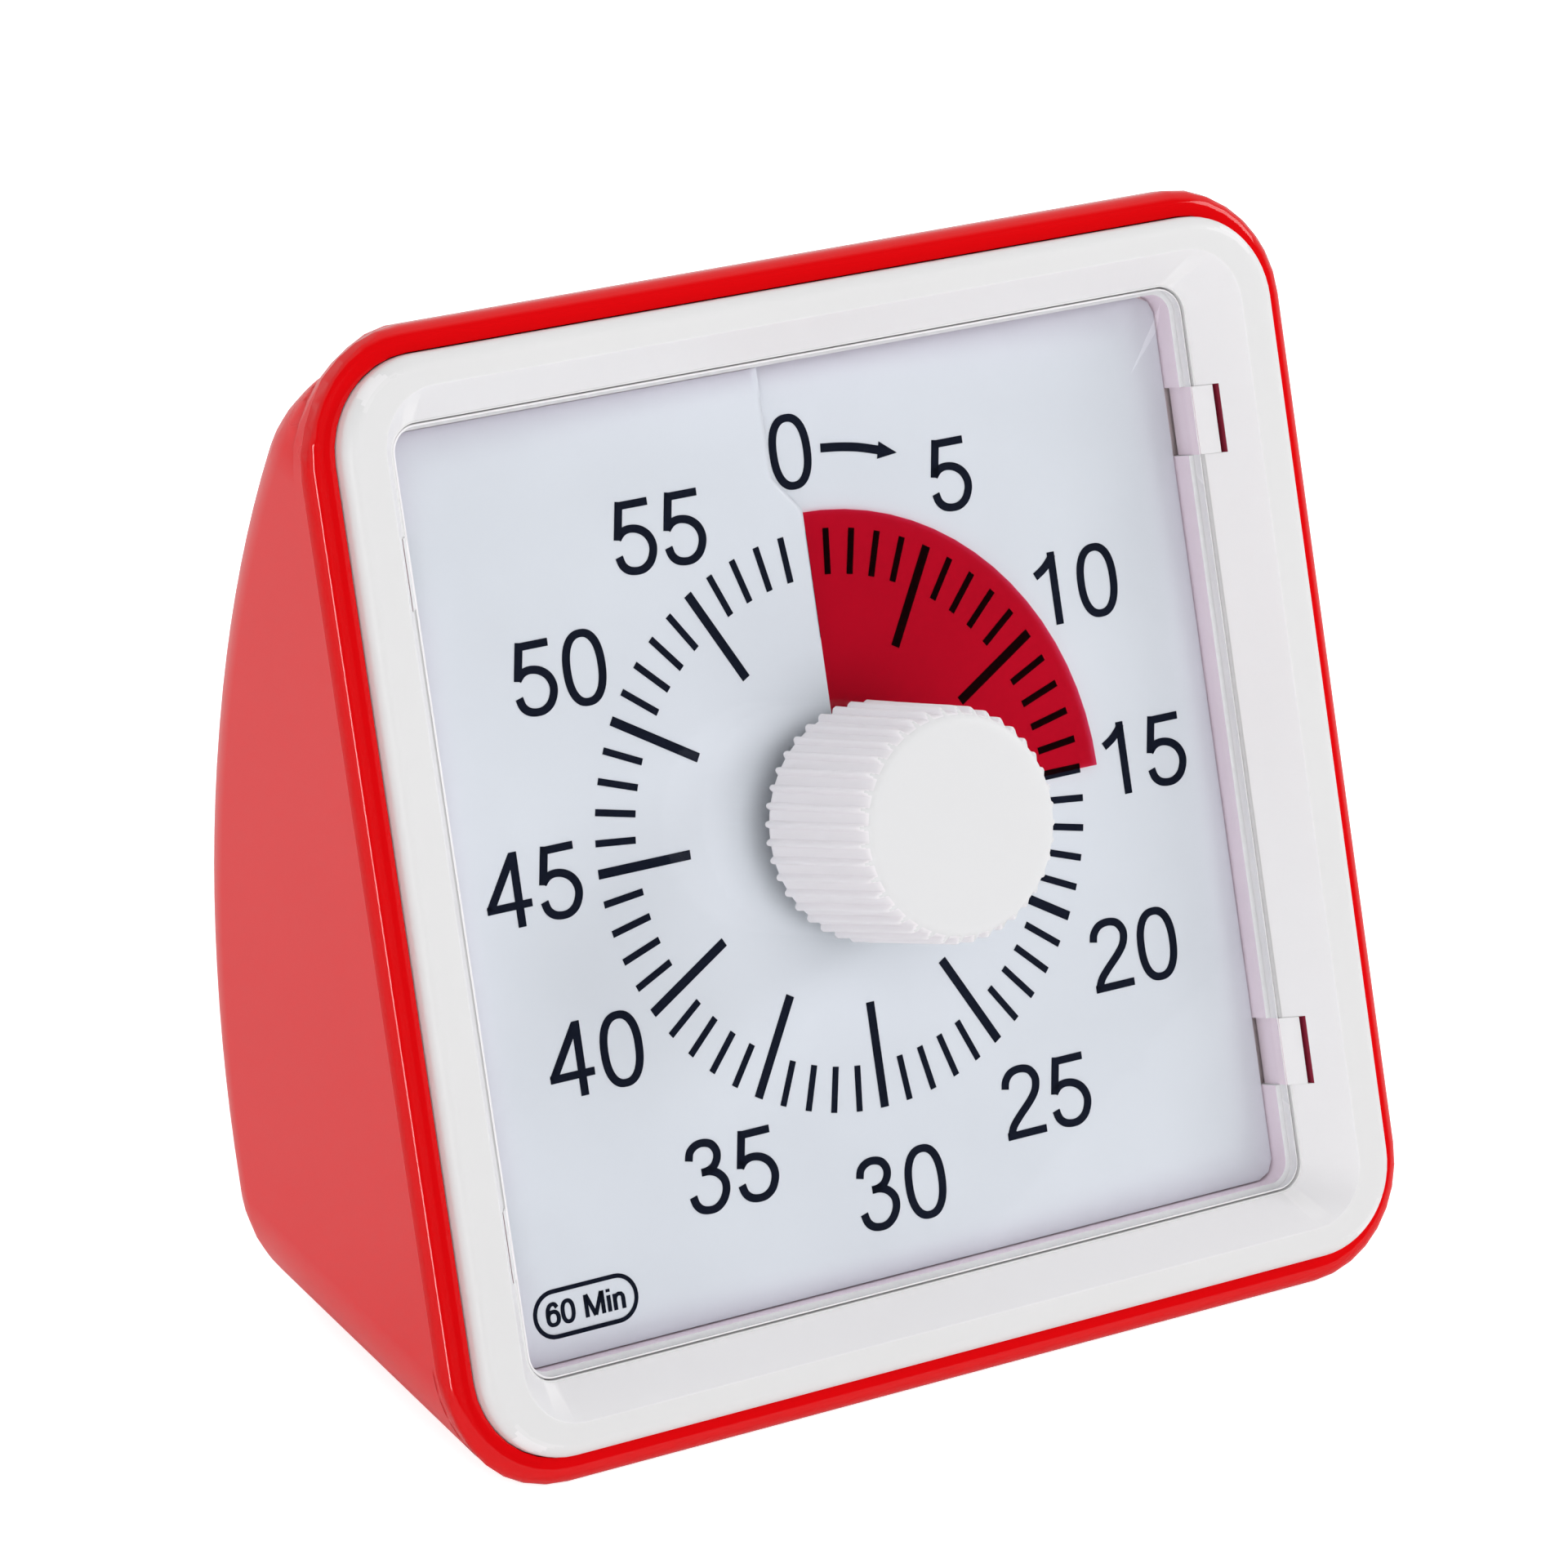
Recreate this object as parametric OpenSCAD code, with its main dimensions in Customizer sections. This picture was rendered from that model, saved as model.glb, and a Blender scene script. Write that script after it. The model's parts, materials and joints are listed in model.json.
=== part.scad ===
// Desk-top visual countdown timer, 60 minutes.
// World frame: +Z up, the dial looks towards -Y, +X to the viewer's right.
// Face frame (module on_face): x right, y up the dial, z straight out of the dial sheet.
// Back frame (module on_back): x right, y down the back wall, z straight out of the back wall.

/* [Housing] */
// Width of the front face
face_w = 85; // [78:0.5:110]
// Height of the front face, measured along the tilted face
face_h = 83.4; // [81:0.2:92]
// Angle by which the face leans back from upright
lean = 25.4; // [22:0.2:28]
// Overall depth from the front of the bezel to the back
depth = 44.8; // [44:0.2:54]
// Corner radius of the front face
corner_r = 9; // [8:0.25:12]
// Radius of the curved back, seen from the side
back_r = 80; // [76:1:100]
// Height at which the curved back bulges furthest
back_mid = 42.5; // [40:0.5:46]
// Rounding of the edges between the back, the sides and the base
edge_r = 4.5; // [3.5:0.25:5.5]
// Wall thickness of the housing
wall = 2; // [1.6:0.1:2.2]
// Front plane of the housing's rim, ahead of the dial
rim_z = 4.5; // [4:0.1:5]
// Rounding of the rim's outer edge
rim_round = 1.3; // [0.8:0.1:1.6]
// How much lower the crown behind the rim lies
crown_drop = 1.2; // [0.8:0.1:2]

/* [Bezel and lens] */
// Front plane of the bezel, ahead of the dial
bezel_z = 6.2; // [5.6:0.1:6.8]
// Rounding of the bezel's outer edge
bezel_round = 1.1; // [0.6:0.1:1.4]
// Gap between the bezel and the housing opening
bezel_gap = 0.1; // [0.05:0.05:0.3]
// Wall thickness of the bezel's skirt
skirt_t = 1.8; // [1.4:0.1:2]
// Width and height of the clear lens
lens_w = 69; // [68.5:0.1:70]
// Thickness of the lens
lens_t = 1; // [0.8:0.1:1.2]
// Front plane of the lens, ahead of the dial
lens_z = 2.15; // [2:0.05:2.4]
// Gap around the lens in its seat
lens_gap = 0.1; // [0.05:0.05:0.2]
// Run of the bezel's flare around the lens
flare_w = 2.5; // [1.8:0.1:3]
// Length of each snap tab on the lens
tab_len = 4.9; // [3.5:0.1:6]
// Height of the tabs above and below the middle
tab_y = 24.2; // [22:0.2:25]
// Thickness of each snap tab
tab_t = 0.9; // [0.7:0.05:1]
// Width of the dark slit left beside each tab
tab_slit = 0.35; // [0.3:0.05:0.5]

/* [Dial and film] */
// Width and height of the dial sheet
dial_w = 67.2; // [66:0.1:67.6]
// Thickness of the dial sheet
dial_t = 0.3; // [0.2:0.02:0.34]
// Thickness of the coloured film
film_t = 0.2; // [0.12:0.02:0.24]
// Clearance between the film and the dial sheet
film_gap = 0.15; // [0.12:0.01:0.2]
// Radius of the coloured film
film_r = 22.85; // [20:0.05:23]
// Minutes set on the dial, as the timer stands
set_minutes = 15; // [5:1:55]
// Sideways jog of the slit in the dial sheet beyond the film
slit_jog = 2.2; // [1.5:0.1:2.6]
// Outer radius of the film's hub
hub_r = 4.2; // [4:0.1:4.6]

/* [Knob] */
// Radius of the knob over its ribs
knob_r = 8.9; // [8:0.1:10]
// Front plane of the knob, ahead of the dial
knob_z = 15.5; // [13:0.1:17]
// Number of ribs around the knob
knob_ribs = 40; // [30:2:60]
// Depth of the ribs
rib_h = 0.35; // [0.2:0.05:0.5]
// Radius of the spindle's D-section
spindle_r = 3; // [2.6:0.1:3.2]
// Running clearance of shafts in their bearings
run_gap = 0.05; // [0.03:0.01:0.08]

/* [Movement] */
// Width of the movement case
move_w = 51; // [50:0.5:51.5]
// Depth of the movement case
move_t = 9; // [9:0.05:9.2]
// Top edge of the movement case above the spindle
move_top = 17.4; // [17.2:0.1:18]
// Bottom edge of the movement case below the spindle
move_bot = 11.6; // [11.4:0.1:12]
// Module of the output wheel's teeth
mod_out = 0.4; // [0.38:0.01:0.41]
// Module of the third wheel's teeth
mod_third = 0.32; // [0.3:0.01:0.33]
// Module of the second wheel's teeth
mod_second = 0.24; // [0.23:0.01:0.25]

/* [Battery and electronics] */
// Diameter of the AA cell
cell_d = 14.2; // [13.5:0.1:14.5]
// Length of the AA cell's can
cell_len = 49; // [48:0.1:50]
// Width of the circuit board
board_w = 50; // [49:0.5:52]
// Height of the circuit board
board_h = 15; // [14.5:0.1:15.2]
// Travel of the volume switch to each side of its middle
switch_travel = 2; // [1.5:0.1:2.4]
// Radius of the sounder
sounder_r = 6; // [5:0.1:6.4]

/* [Hidden] */
eps = 0.01;
far = 200;
fine = 96;
mid = 48;

// Frames of the face and the back.
rim_w = wall;
bezel_w = face_w - 2 * rim_w - 2 * bezel_gap;
bezel_h = face_h - 2 * rim_w - 2 * bezel_gap;
face_z = (face_h / 2 - rim_round) * cos(lean) - (rim_z - rim_round) * sin(lean) + rim_round;
face_y = -depth / 2 + (bezel_h / 2 - bezel_round) * sin(lean)
    + (bezel_z - bezel_round) * cos(lean) + bezel_round;
top_z = face_z + (face_h / 2 - rim_round) * cos(lean) + (rim_z - rim_round) * sin(lean)
    + rim_round;
back_y = depth / 2 - back_r;
collar_t = 2.6;
body_z = rim_z - 2;

// Bezel, lens and dial levels in the face frame.
lens_back = lens_z - lens_t;
lens_corner = 2;
well_w = lens_w - 0.9;
well_corner = 1.6;
skirt_in_w = bezel_w - 2 * skirt_t;
skirt_in_h = bezel_h - 2 * skirt_t;
bezel_corner = corner_r - rim_w - bezel_gap;
flare_foot_z = lens_z + 0.15;
flare_foot = lens_w / 2 + lens_gap + 0.15;
slot_w = tab_t + tab_slit;
hook_out = tab_t + 0.7;
floor_gap = 0.15;

// Dial sheet and film: two interleaved screw surfaces of the same pitch.
layer = (dial_t + film_t) / 2 + film_gap;
pitch = 2 * layer;
set_angle = set_minutes * 6;
dial_low = -dial_t - pitch;
plate_top = dial_low - 0.05;
plate_lap = 3.4;
pocket_r = film_r + 0.55;
pocket_z = dial_low - 1.1;
plate_back = pocket_z - 1;
dial_hole = hub_r + 0.6;
hub_back = 1.4;
hub_front = 0.5;
slit_in = film_r + 0.3;
slit_out = film_r + 3;
sheet_steps = 72;
jog_steps = 6;

// Movement levels.
move_front_z = plate_back;
move_back_z = move_front_z - move_t;
case_t = 1;
split_z = move_front_z - 1.8;
out_z = move_front_z - 2.4;
third_z = out_z - 1.9;
second_z = third_z - 1.5;
magnet_z = second_z - 0.55;
wheel_t = 0.8;
thin_t = 0.55;
neck_r = spindle_r - 0.8;
pivot_r = 0.45;
out_teeth = 48;
third_teeth = 40;
second_teeth = 30;
leaf_count = 8;
rotor_leaves = 6;
third_at = (out_teeth + leaf_count) / 2 * mod_out * [cos(150), sin(150)];
second_at = third_at + (third_teeth + leaf_count) / 2 * mod_third * [cos(60), sin(60)];
rotor_at = second_at + (second_teeth + rotor_leaves) / 2 * mod_second * [1, 0];
magnet_r = 2;
case_head_r = 1.8;
case_head_t = 0.9;
coil_at = rotor_at + [12, 0.6];
coil_len = 12;
coil_r = 2.1;
cam_z = move_back_z + 2.6;
cam_r = 4;
move_sites = [for (i = [-1, 1]) each [[i * (move_w / 2 - 2.6), move_top - 2.8],
    [i * (move_w / 2 - 2.6), -move_bot + 2.8]]];

// Screws that close the housing: place on the face and the plane where post meets boss.
post_x = skirt_in_w / 2 - 2;
post_r = 2.2;
screw_sites = [[-post_x, 29, -4.6], [post_x, 29, -4.6], [-post_x, -14, -7], [post_x, -14, -7]];
screw_r = 1.25;
head_r = 2.4;
head_t = 1.5;
floor_t = 1.6;
plate_screw_x = skirt_in_w / 2 - 2.3;
plate_screw_y = [14, -31];

// Back wall: board, sounder, volume switch.
board_at = 28.5;
board_z = -7;
board_t = 1.2;
sounder_x = -13;
switch_x = 12;
switch_w = 11;
switch_h = 4.8;
switch_t = 3.4;
stem_w = 2.6;
stem_h = 1.8;
board_screw_x = board_w / 2 - 2.8;

// Battery bay, across the foot of the housing.
cell_r = cell_d / 2;
cell_z = wall + 0.8 + cell_r;
cell_y = back_y + sqrt(pow(back_r - wall - 0.7 - cell_r, 2) - pow(cell_z - back_mid, 2));
bay_len = cell_len + 6;
bay_wall = 1.4;
nub_r = 2.7;
nub_len = 1;
contact_t = 0.4;
door_w = bay_len - 2.6;
door_low = 6.4;
door_high = 19.6;
door_gap = 0.3;
door_t = 1.5;
grip_w = 16;
door_bead = door_t / 2;
door_axis = door_bead + 0.05;
door_pin_r = 0.6;
lead_r = 0.6;

function arc_angle(h) = asin((h - back_mid) / back_r);
function arc_point(h, inset) = [back_y + (back_r - inset) * cos(arc_angle(h)),
    back_mid + (back_r - inset) * sin(arc_angle(h))];

module on_face() {
  translate([0, face_y, face_z]) rotate([90 - lean, 0, 0]) children();
}

module on_back(h) {
  translate([0, arc_point(h, 0).x, arc_point(h, 0).y])
    rotate([arc_angle(h) - 90, 0, 0]) children();
}

// ---------- plain shapes ----------

module round_rect(w, h, r, n = 64) {
  square([w - 2 * r, h], center = true);
  square([w, h - 2 * r], center = true);
  for (i = [-1, 1], j = [-1, 1]) translate([i * (w / 2 - r), j * (h / 2 - r)]) circle(r, $fn = n);
}

// Outline of the same with its corners in short flats.
function flat_outline(w, h, r) = [
  for (q = [[1, 1, 0], [-1, 1, 90], [-1, -1, 180], [1, -1, 270]], k = [0 : 8])
    [q.x * (w / 2 - r), q.y * (h / 2 - r)] + r * [cos(q.z + k * 11.25), sin(q.z + k * 11.25)]];

module flat_rect(w, h, r) {
  polygon(flat_outline(w, h, r));
}

// Solid through a stack of rings, each a list of as many points, from back to front.
module loft(rings) {
  n = len(rings[0]);
  last = (len(rings) - 1) * n;
  polyhedron([for (ring = rings) each ring], [
    [for (j = [0 : n - 1]) j], [for (j = [n - 1 : -1 : 0]) last + j],
    for (i = [0 : len(rings) - 2], j = [0 : n - 1]) let (a = i * n + j, b = i * n + (j + 1) % n)
      each [[a, a + n, b], [b, a + n, b + n]]]);
}

// Ball in flats that reaches its full radius along every axis.
module flat_ball(r, n = 32) {
  sphere(r = r / cos(180 / n), $fn = n);
}

// Plate with a rounded front edge, its back at z = 0.
module round_slab(w, h, r, t, edge) {
  linear_extrude(t - edge) round_rect(w, h, r);
  linear_extrude(t) round_rect(w - 2 * edge, h - 2 * edge, r - edge);
  for (i = [0, 1], j = [0, 1]) mirror([i, 0, 0]) mirror([0, j, 0])
    translate([w / 2 - r, h / 2 - r, t - edge]) rotate_extrude(angle = 90, $fn = 64)
      translate([r - edge, 0]) circle(edge, $fn = 32);
  for (i = [-1, 1]) translate([i * (w / 2 - edge), 0, t - edge]) rotate([90, 0, 0])
    cylinder(r = edge, h = h - 2 * r, center = true, $fn = 32);
  for (i = [-1, 1]) translate([0, i * (h / 2 - edge), t - edge]) rotate([0, 90, 0])
    cylinder(r = edge, h = w - 2 * r, center = true, $fn = 32);
}

// Everything at least h above the base.
module above(h) {
  translate([-far / 2, -far / 2, h]) cube(far);
}

module tube(r_out, r_in, h, n = mid) {
  difference() {
    cylinder(r = r_out, h = h, $fn = n);
    translate([0, 0, -eps]) cylinder(r = r_in, h = h + 2 * eps, $fn = n);
  }
}

// Round wire along straight runs with ball joints.
module wire(points, r) {
  for (k = [0 : len(points) - 2]) {
    run = points[k + 1] - points[k];
    translate(points[k])
      rotate([0, acos(run.z / norm(run)), atan2(run.y, run.x)])
        cylinder(r = r, h = norm(run), $fn = 16);
  }
  for (k = [1 : len(points) - 2]) translate(points[k]) sphere(r, $fn = 16);
}

// Pan-head screw, its tip towards +z and its head seated at z = 0.
module pan_screw(shank_r, shank_len, top_r, top_t) {
  cylinder(r = shank_r, h = shank_len, $fn = 32);
  difference() {
    translate([0, 0, -top_t]) cylinder(r = top_r, h = top_t, $fn = 32);
    for (a = [0, 90]) rotate(a)
      translate([0, 0, -top_t]) cube([top_r * 1.2, top_r * 0.28, top_t], center = true);
  }
}

// Toothed outline; teeth are a share of the pitch wide at their root and at their tip.
module toothed(teeth, m, up, down, root_share, tip_share, phase = 0) {
  rp = teeth * m / 2;
  step = 360 / teeth;
  flank = [[rp - down, -root_share / 2], [rp + up, -tip_share / 2], [rp + up, tip_share / 2],
    [rp - down, root_share / 2]];
  polygon([for (k = [0 : teeth - 1], q = flank)
    q.x * [cos(phase + (k + q.y) * step), sin(phase + (k + q.y) * step)]]);
}

// Closed solid between a front and a back grid of points, both [rows][columns].
module sheet_solid(front, back) {
  rows = len(front);
  cols = len(front[0]);
  n = rows * cols;
  points = [for (g = [front, back]) each [for (row = g) each row]];
  faces = [
    for (i = [0 : rows - 2], j = [0 : cols - 2]) each [
      [i * cols + j, (i + 1) * cols + j, (i + 1) * cols + j + 1],
      [i * cols + j, (i + 1) * cols + j + 1, i * cols + j + 1],
      [n + i * cols + j, n + (i + 1) * cols + j + 1, n + (i + 1) * cols + j],
      [n + i * cols + j, n + i * cols + j + 1, n + (i + 1) * cols + j + 1]],
    for (i = [0 : rows - 2], j = [0, cols - 1]) each let (a = i * cols + j, b = (i + 1) * cols + j)
      j == 0 ? [[a, n + b, b], [a, n + a, n + b]] : [[a, b, n + b], [a, n + b, n + a]],
    for (i = [0, rows - 1], j = [0 : cols - 2]) each let (a = i * cols + j, b = a + 1)
      i == 0 ? [[a, b, n + b], [a, n + b, n + a]] : [[a, n + b, b], [a, n + a, n + b]]];
  polyhedron(points, [for (f = faces) [f[2], f[1], f[0]]], convexity = 4);
}

// Distance from the middle to the edge of a rounded square, towards clockwise angle a.
function square_edge(a, half, r) = let (
    u = [max(abs(sin(a)), abs(cos(a))), min(abs(sin(a)), abs(cos(a)))],
    c = (half - r) * (u.x + u.y),
    flat = half / u.x)
  flat * u.y <= half - r ? flat : c + sqrt(c * c - 2 * pow(half - r, 2) + r * r);

// Middle of the dial sheet at a share of one clockwise turn from the slit.
function dial_mid(share) = -dial_t / 2 - pitch * (1 - share);

function turn_point(a, r, z) = [r * sin(a), r * cos(a), z];

// ---------- housing ----------

// Front outline of the body pushed straight back, set in by inset.
module outline_prism(inset) {
  h = top_z - crown_drop;
  translate([0, far / 2, h / 2]) rotate([90, 0, 0])
    linear_extrude(far) flat_rect(face_w - 2 * inset, h - 2 * inset, corner_r - inset);
}

// All that lies in front of the curved back, whose arc is drawn in short flats.
module before_back(inset) {
  translate([0, back_y, back_mid]) rotate([90, 0, 90]) linear_extrude(2 * face_w, center = true)
    polygon([[-far, -far], for (a = [-60 : 4 : 60]) (back_r - inset) * [cos(a), sin(a)], [-far, far]]);
}

module housing_core(inset) {
  intersection() {
    outline_prism(inset);
    before_back(inset);
  }
}

function rim_ring(z, inset) = [
  for (q = flat_outline(face_w - 2 * inset, face_h - 2 * inset, corner_r - inset)) [q.x, q.y, z]];

// Rim around the bezel, and the body that runs back from it.
module housing_outer() {
  intersection() {
    on_face() loft([rim_ring(rim_z - collar_t, 0), for (a = [0 : 15 : 90])
      rim_ring(rim_z - rim_round * (1 - sin(a)), rim_round * (1 - cos(a)))]);
    translate([0, far / 2, top_z / 2]) rotate([90, 0, 0])
      linear_extrude(far) flat_rect(face_w, top_z, corner_r);
  }
  intersection() {
    minkowski() {
      intersection() {
        outline_prism(edge_r);
        translate([0, back_y, back_mid]) rotate([90, 0, 90])
          cylinder(r = back_r - edge_r, h = face_w, center = true, $fn = 180);
      }
      flat_ball(edge_r);
    }
    on_face() translate([-far / 2, -far / 2, body_z - far]) cube(far);
  }
}

module bezel_opening() {
  intersection() {
    on_face() translate([0, 0, plate_back - 0.2]) linear_extrude(far)
      flat_rect(face_w - 2 * rim_w, face_h - 2 * rim_w, corner_r - rim_w);
    above(floor_t);
    before_back(wall);
  }
}

module rear_housing() {
  color("crimson") difference() {
    union() {
      difference() {
        housing_outer();
        bezel_opening();
        intersection() {
          housing_core(wall);
          on_face() translate([-far / 2, -far / 2, -far + lens_z]) cube(far);
        }
      }
      intersection() {
        housing_core(wall / 2);
        union() {
          screw_bosses();
          board_bosses();
          bay_walls();
          door_sockets();
        }
      }
    }
    screw_wells();
    door_opening();
    sounder_holes();
    switch_slot();
    board_pilot_holes();
  }
}

module screw_bosses() {
  on_face() for (s = screw_sites) translate([s.x, s.y, s.z - far])
    cylinder(r = head_r + 1.4, h = far, $fn = mid);
}

module screw_wells() {
  on_face() for (s = screw_sites) {
    translate([s.x, s.y, s.z - 1.6 - far]) cylinder(r = head_r + 0.3, h = far, $fn = mid);
    translate([s.x, s.y, s.z - far / 2]) cylinder(r = screw_r + 0.2, h = far / 2 + eps, $fn = mid);
  }
}

module board_bosses() {
  on_back(board_at) for (i = [-1, 1]) translate([i * board_screw_x, 0, board_z])
    cylinder(r = 2.3, h = -board_z - wall / 2, $fn = mid);
}

module board_pilot_holes() {
  on_back(board_at) for (i = [-1, 1]) translate([i * board_screw_x, 0, board_z - eps])
    cylinder(r = 0.85, h = 3.8, $fn = 32);
}

module bay_walls() {
  for (i = [-1, 1]) translate([i * (bay_len + bay_wall) / 2, cell_y, 0])
    translate([-bay_wall / 2, -cell_r, 0]) cube([bay_wall, cell_d + 6, cell_z + cell_r]);
  for (x = [-cell_len / 3, cell_len / 3]) difference() {
    translate([x - 0.7, cell_y - cell_r * 0.8, 0]) cube([1.4, cell_r * 1.6, cell_z - 2]);
    translate([x, cell_y, cell_z]) rotate([0, 90, 0])
      cylinder(r = cell_r + 0.05, h = 3, center = true, $fn = mid);
  }
}

module door_sockets() {
  for (i = [-1, 1]) translate([i * (door_w / 2 + 1.6), 0, 0])
    translate([0, arc_point(door_low, door_axis).x, arc_point(door_low, door_axis).y])
      rotate([0, 90, 0]) cylinder(r = 1.9, h = 3.2, center = true, $fn = mid);
}

// Sector of the back wall between two heights, rims at given insets.
module back_sector(w, low, high, inset_out, inset_in) {
  intersection() {
    translate([-w / 2, back_y, back_mid]) rotate([90, 0, 90]) difference() {
      cylinder(r = back_r - inset_out, h = w, $fn = 360);
      translate([0, 0, -1]) cylinder(r = back_r - inset_in, h = w + 2, $fn = 360);
    }
    translate([-w / 2 - 1, back_y, back_mid]) rotate([90, 0, 90]) linear_extrude(w + 2)
      polygon([[0, 0], 1.2 * back_r * [cos(arc_angle(low)), sin(arc_angle(low))],
        1.2 * back_r * [cos(arc_angle(high)), sin(arc_angle(high))]]);
  }
}

module door_pivot(r, w) {
  translate([0, arc_point(door_low, door_axis).x, arc_point(door_low, door_axis).y])
    rotate([0, 90, 0]) cylinder(r = r, h = w, center = true, $fn = mid);
}

module door_opening() {
  back_sector(door_w + 2 * door_gap, door_low, door_high + door_gap, -1, wall + 3);
  door_pivot(door_bead + door_gap, door_w + 2 * door_gap);
  door_pivot(door_pin_r + run_gap, door_w + 3);
}

module battery_door() {
  color("crimson") {
    back_sector(door_w, door_low, door_high, door_axis - door_bead, door_axis + door_bead);
    door_pivot(door_bead, door_w);
    door_pivot(door_pin_r, door_w + 2.4);
    back_sector(grip_w, door_high - 2.4, door_high - 1.2, -0.5, wall / 2);
  }
}

module sounder_holes() {
  on_back(board_at) translate([sounder_x, 0, -wall - 1]) {
    cylinder(r = 0.8, h = far / 20, $fn = 24);
    for (k = [0 : 5]) rotate(60 * k) translate([3, 0, 0]) cylinder(r = 0.8, h = far / 20, $fn = 24);
  }
}

module switch_slot() {
  on_back(board_at) translate([switch_x, 0, -wall]) cube([stem_w + 2 * switch_travel + 0.8,
    stem_h + 0.6, 3 * wall], center = true);
}

// ---------- bezel and lens ----------

module front_bezel() {
  color("white") intersection() {
    on_face() difference() {
      union() {
        difference() {
          translate([0, 0, plate_back]) round_slab(bezel_w, bezel_h, bezel_corner,
            bezel_z - plate_back, bezel_round);
          translate([0, 0, plate_back - eps]) linear_extrude(plate_top - plate_back + eps)
            round_rect(skirt_in_w, skirt_in_h, bezel_corner - skirt_t);
        }
        for (s = screw_sites) translate([s.x, s.y, s.z])
          cylinder(r = post_r, h = plate_top - s.z + 1, $fn = mid);
      }
      hull() {
        translate([0, 0, flare_foot_z]) linear_extrude(eps)
          round_rect(2 * flare_foot, 2 * flare_foot, lens_corner + 0.3, 32);
        translate([0, 0, bezel_z]) linear_extrude(eps)
          round_rect(2 * (flare_foot + flare_w), 2 * (flare_foot + flare_w), lens_corner + flare_w, 32);
      }
      translate([0, 0, lens_back]) linear_extrude(far)
        round_rect(lens_w + 2 * lens_gap, lens_w + 2 * lens_gap, lens_corner + lens_gap);
      translate([0, 0, plate_top - 1]) linear_extrude(far) round_rect(well_w, well_w, well_corner);
      for (i = [0, 1]) mirror([i, 0, 0]) for (j = [-1, 1]) translate([lens_w / 2, j * tab_y, 0]) {
        translate([-0.5, -tab_len / 2 - 0.15, plate_top - 0.5])
          cube([slot_w + 0.5, tab_len + 0.3, far]);
        translate([-0.5, -tab_len / 2 - 0.15, plate_top - 0.5])
          cube([hook_out + 0.7, tab_len + 0.3, 0.5 + 0.1 - plate_top]);
      }
      for (s = screw_sites) translate([s.x, s.y, s.z - eps])
        cylinder(r = screw_r + 0.02, h = 6, $fn = 32);
      for (i = [-1, 1], y = plate_screw_y) translate([i * plate_screw_x, y, plate_top - eps])
        cylinder(r = 0.85, h = 3, $fn = 32);
    }
    above(floor_t + floor_gap);
    before_back(wall + floor_gap);
  }
}

module lens() {
  color("whitesmoke", 0.35) on_face() {
    difference() {
      translate([0, 0, lens_back]) linear_extrude(lens_t) round_rect(lens_w, lens_w, lens_corner);
      translate([0, 0, lens_back - 1]) cylinder(r = spindle_r + 0.6, h = lens_t + 2, $fn = mid);
    }
    for (i = [0, 1]) mirror([i, 0, 0]) for (j = [-1, 1]) translate([lens_w / 2, j * tab_y, 0]) {
      translate([-0.3, -tab_len / 2, plate_top + 0.3])
        cube([tab_t + 0.3, tab_len, lens_z - plate_top - 0.3]);
      translate([0, -tab_len / 2, plate_top + 0.3]) cube([hook_out, tab_len, 0.7]);
    }
  }
}

module backing_plate() {
  color("gainsboro") intersection() {
    on_face() difference() {
      translate([0, 0, plate_back]) linear_extrude(plate_top - plate_back)
        round_rect(skirt_in_w - 0.6, dial_w + plate_lap, bezel_corner - skirt_t);
      translate([0, 0, pocket_z]) cylinder(r = pocket_r, h = 5, $fn = fine);
      translate([0, 0, plate_back - 1]) cylinder(r = spindle_r + 0.6, h = 9, $fn = mid);
      for (s = screw_sites) translate([s.x, s.y, plate_back - 1])
        cylinder(r = post_r + 0.3, h = 9, $fn = mid);
      for (i = [-1, 1], y = plate_screw_y) translate([i * plate_screw_x, y, plate_back - 1])
        cylinder(r = 0.95, h = 9, $fn = 32);
      for (s = move_sites) translate([s.x, s.y, plate_back - 1]) cylinder(r = 0.95, h = 2.6, $fn = 32);
      for (i = [-1, 1], j = [-1, 1]) translate([i * (lens_w / 2 + 0.8), j * tab_y, plate_top])
        cube([2.6, tab_len + 0.6, 0.8], center = true);
    }
    above(floor_t + 2 * floor_gap);
    before_back(wall + 2 * floor_gap);
  }
}

// ---------- dial sheet and film ----------

function dial_row(i, z_shift) = let (
    share = i / sheet_steps,
    bend = max(0, 1 - min(i, sheet_steps - i) / jog_steps),
    a = 360 * share,
    a_jog = a - bend * asin(slit_jog / slit_out),
    a_edge = a - bend * asin(slit_jog / (dial_w / 2)),
    z = dial_mid(share) + z_shift)
  [turn_point(a, dial_hole, z), turn_point(a, slit_in, z), turn_point(a_jog, slit_out, z),
    turn_point(a_edge, square_edge(a_edge, dial_w / 2, well_corner - 0.2), z)];

module dial_sheet() {
  color("aliceblue") on_face() sheet_solid(
    [for (i = [0 : sheet_steps]) dial_row(i, dial_t / 2)],
    [for (i = [0 : sheet_steps]) dial_row(i, -dial_t / 2)]);
}

function film_row(i, z_shift) = let (
    share = i / sheet_steps,
    a = set_angle - 360 * (1 - share),
    z = dial_mid(set_angle / 360) + layer - pitch * (1 - share) + z_shift)
  [turn_point(a, hub_r + 0.03, z), turn_point(a, film_r, z)];

module red_film() {
  color("crimson", 0.8) on_face() sheet_solid(
    [for (i = [0 : sheet_steps]) film_row(i, film_t / 2)],
    [for (i = [0 : sheet_steps]) film_row(i, -film_t / 2)]);
}

module d_section(r) {
  intersection() {
    circle(r, $fn = mid);
    translate([-2 * r, -r]) square([2 * r + 0.72 * r, 2 * r]);
  }
}

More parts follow.
